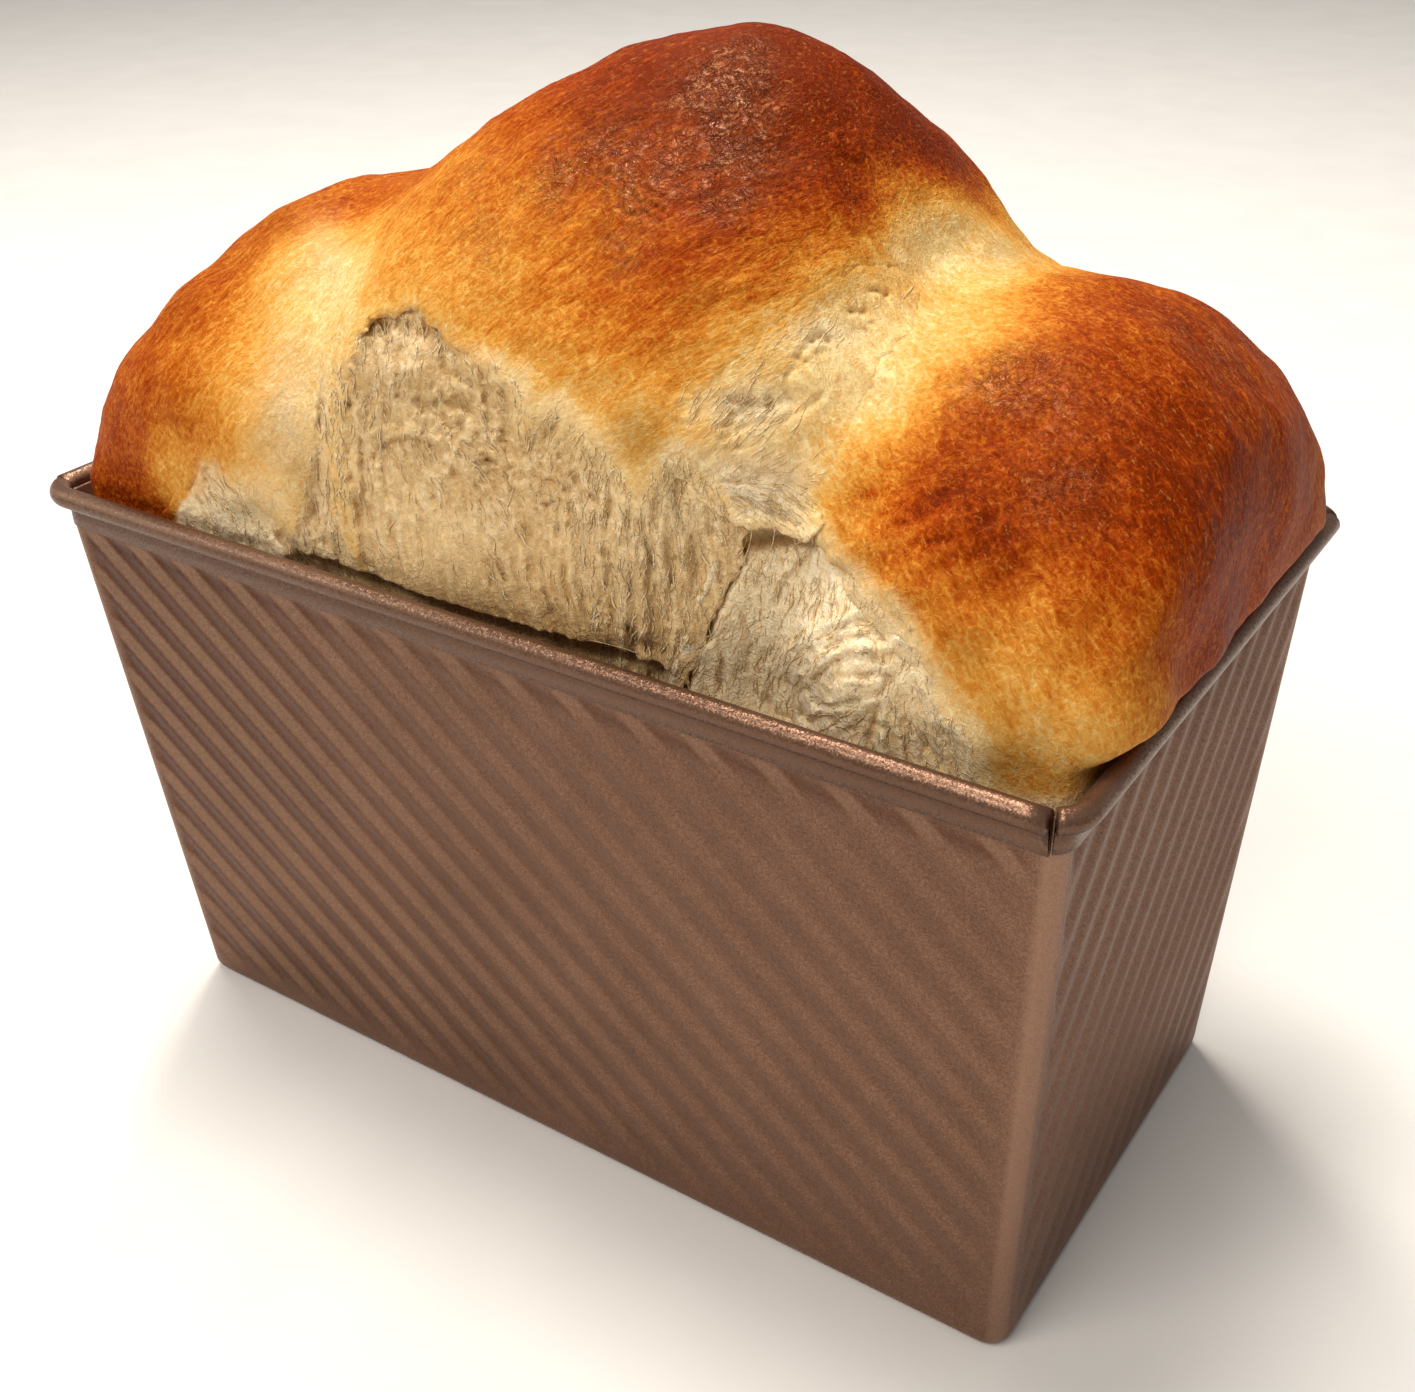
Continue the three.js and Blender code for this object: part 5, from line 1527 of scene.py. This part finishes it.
def build_tin():
    rings = [tin_ring(0.0, -FOOT, False)]
    for a in (20, 40, 60, 75, 90):
        t = math.radians(a)
        rings.append(tin_ring(FOOT * (1 - math.cos(t)), -FOOT * (1 - math.sin(t)), False))
    for z in np.arange(FOOT + 0.6, 107.4, DZ):
        rings.append(tin_ring(z, 0.0, True))
    rings.append(tin_ring(107.5, 0.0, False))
    rings.append(tin_ring(113.0, 0.0, False, TH))
    rings.append(tin_ring(113.3, -0.4, False, TH))
    rings.append(tin_ring(113.0, -SHEET, False, TH))
    for z in np.arange(106.6, FOOT + 1.0, -2 * DZ):
        rings.append(tin_ring(z, -SHEET, True))
    rings.append(tin_ring(FOOT, -SHEET, False))
    rings.append(tin_ring(SHEET + 0.4, -SHEET - 1.6, False))
    rings.append(tin_ring(SHEET, -SHEET - 3.0, False))
    V, Q, T = loft(rings, (0, 0, 0), (0, 0, SHEET))
    hx, hy = half_at(V[:, 2])
    edge = ss(3.4, 2.0, hx - np.abs(V[:, 0])) * ss(3.4, 2.0, hy - np.abs(V[:, 1]))
    x, y, z = V.T
    long = hy - np.abs(y) < hx - np.abs(x)
    a = np.where(long, np.where(y < 0, x, -x), np.where(x > 0, y, -y))
    s_, c_ = math.sin(math.radians(41.2)), math.cos(math.radians(41.2))
    q = (a * s_ + z * c_ + 0.22 * np.sin(a / 23 + z / 31) - 0.05) / 7.9
    s_, c_ = math.sin(math.radians(57.0)), math.cos(math.radians(57.0))
    q = np.where(long, q, (-a * s_ + z * c_ + 0.2 * np.sin(a / 19 + z / 27) - 5.4) / 8.2)
    half = np.where(long, hx, hy)
    # painted shade on the ribs: strong on the left of the long walls and fading to the right, weak on the ends, and in
    # the pockets just below the hem
    shade = ss(107.0, 105.4, z) * ss(3.4, 9, z) * ss(half - 3.2, half - 6.5, a) * ss(-half + 3.2, -half + 5.5, a)
    fade = np.where(long, lerp(0.85, 0.16, ss(-100, 40, a)) * lerp(0.7, 1.0, ss(10, 80, z)), 0.2)
    shade = shade * (fade + ss(102.0, 104.6, z) * np.where(long, lerp(0.2, 0.42, ss(-20, 20, a)), 0.15))
    ob = make_mesh("tin_shell", V, [Q, T], True, {"edge": edge, "phase": q + 64, "shade": shade, "painted_under_shade": z * 0, "hem": z * 0})
    dress(ob, TIN, "tin")
    # rolled hem: one strip a wall, each wraps the corner it starts at and ends just before the next
    prof = [(-0.1, 107.42), (0.40, 107.38), (0.54, 107.5), (0.56, 109.5), (0.56, 111.3), (0.72, 111.95)]
    for a in np.arange(-105, 171, 15):
        t = math.radians(a)
        prof.append((1.6 + 1.9 * math.cos(t), 113.6 + 1.9 * math.sin(t)))
    prof += [(-0.5, 113.2), (-0.74, 112.2), (-0.84, 110.6), (-0.3, 110.4)]
    prof = np.array(prof)
    gap = 0.16
    for name, turn in (("hem_front", 0), ("hem_right", 1), ("hem_back", 2), ("hem_left", 3)):
        long = turn % 2 == 0
        hx, hy = (TL / 2, TW / 2) if long else (TW / 2, TL / 2)
        r = 4.0
        path = []  # position on the wall's outer plane, and outward normal
        # on the wall before, round the corner, then along this wall
        start = 1.7
        y0 = -hy + start + gap
        if y0 > -hy + r:
            path.append((-hx, y0, -1, 0))
        t0 = math.pi + math.asin(max(min(((-hy + r) - y0) / r, 1), -1))
        for t in np.linspace(t0, 1.5 * math.pi, 9):
            path.append((-hx + r + r * math.cos(t), -hy + r + r * math.sin(t), math.cos(t), math.sin(t)))
        x_end = hx - start - gap
        for x in np.arange(-hx + r + 3, x_end, 4.0):
            path.append((x, -hy, 0, -1))
        path.append((x_end, -hy, 0, -1))
        path = np.array(path)
        rings = []
        for k, (x, y, nx, ny) in enumerate(path):
            wob = 0.10 * math.sin(x / 17 + turn) + 0.06 * math.sin(x / 6.1 + 2 * turn)
            o = prof[:, 0] + np.where(prof[:, 0] > 0.6, 0.5 * wob, 0)
            z = prof[:, 1] + np.where(prof[:, 1] > 111.4, 0.6 * wob, 0)
            rings.append(np.stack([x + nx * o, y + ny * o, z], 1))
        c0, c1 = rings[0].mean(0), rings[-1].mean(0)
        Vh, Qh, Th = loft(rings, c0, c1)
        Qh = Qh[:, ::-1]; Th = Th[:, ::-1]
        c, sn = round(math.cos(turn * math.pi / 2)), round(math.sin(turn * math.pi / 2))
        Vr = np.stack([c * Vh[:, 0] - sn * Vh[:, 1], sn * Vh[:, 0] + c * Vh[:, 1], Vh[:, 2]], 1)
        # painted shade on the roll's lower half and, towards the left, on the flat band below it
        low = ss(113.6, 111.9, Vr[:, 2]) * ss(110.6, 111.4, Vr[:, 2])
        band = ss(111.5, 111.0, Vr[:, 2]) * ss(30, -40, Vr[:, 0])
        # painted highlight along the roll's crest, strongest at the left
        crest = np.exp(-((Vr[:, 2] - 114.8) / 0.5) ** 2) * lerp(0.25, 1.0, ss(40, -60, Vr[:, 0]))
        ob = make_mesh(name, Vr, [Qh, Th], True, {"edge": crest, "phase": low * 0, "shade": low * 0, "painted_under_shade": low * 0.6 + band * 0.35, "hem": low * 0 + 1})
        me = ob.data
        dress(ob, TIN, "tin")
    return ob


build_tin()

# ------------------------------------------------------ floor and lights
def floor():
    me = bpy.data.meshes.new("floor")
    me.from_pydata([(-6, -6, 0), (6, -6, 0), (6, 6, 0), (-6, 6, 0)], [], [(0, 1, 2, 3)])
    ob = bpy.data.objects.new("floor", me)
    bpy.context.scene.collection.objects.link(ob)
    n = Nodes("floor")
    grain = n.noise(n.pos(), 30, 3.0, 0.5)
    n.link(n.ramp(grain, [(0.3, (0.84, 0.83, 0.82)), (0.7, (0.88, 0.87, 0.86))]), n.bsdf.inputs["Base Color"])
    n.bsdf.inputs["Roughness"].default_value = 0.8
    me.materials.append(n.mat)
    ob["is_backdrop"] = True


floor()


def area(name, at, look, size, power, color=(1, 1, 1)):
    d = bpy.data.lights.new(name, "AREA")
    d.shape = "RECTANGLE"
    d.size, d.size_y = size
    d.energy = power
    d.color = color
    ob = bpy.data.objects.new(name, d)
    bpy.context.scene.collection.objects.link(ob)
    ob.location = at
    ob.rotation_mode = "QUATERNION"
    ob.rotation_quaternion = (Vector(look) - Vector(at)).to_track_quat("-Z", "Y")
    return ob


world = bpy.data.worlds.new("world")
bpy.context.scene.world = world
world.use_nodes = True
world.node_tree.nodes["Background"].inputs[0].default_value = (1.0, 0.96, 0.91, 1)
world.node_tree.nodes["Background"].inputs[1].default_value = 0.27
area("key", (-0.24, 0.10, 1.30), (0, 0, 0.14), (0.46, 0.46), 13.6, (1.0, 0.94, 0.85))
area("back", (-0.46, 0.54, 1.20), (0, 0, 0.14), (0.2, 0.2), 5.8, (1.0, 0.90, 0.79))
area("front", (-0.10, -0.82, 1.05), (0, 0, 0.1), (0.85, 0.35), 9.0, (1.0, 0.93, 0.83))
bpy.context.scene.view_settings.view_transform = "Standard"

lo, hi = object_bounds()
{"cad": [list(map(float, c)) for c in CAD_BOX], "visual": [list(map(float, lo)), list(map(float, hi))]}
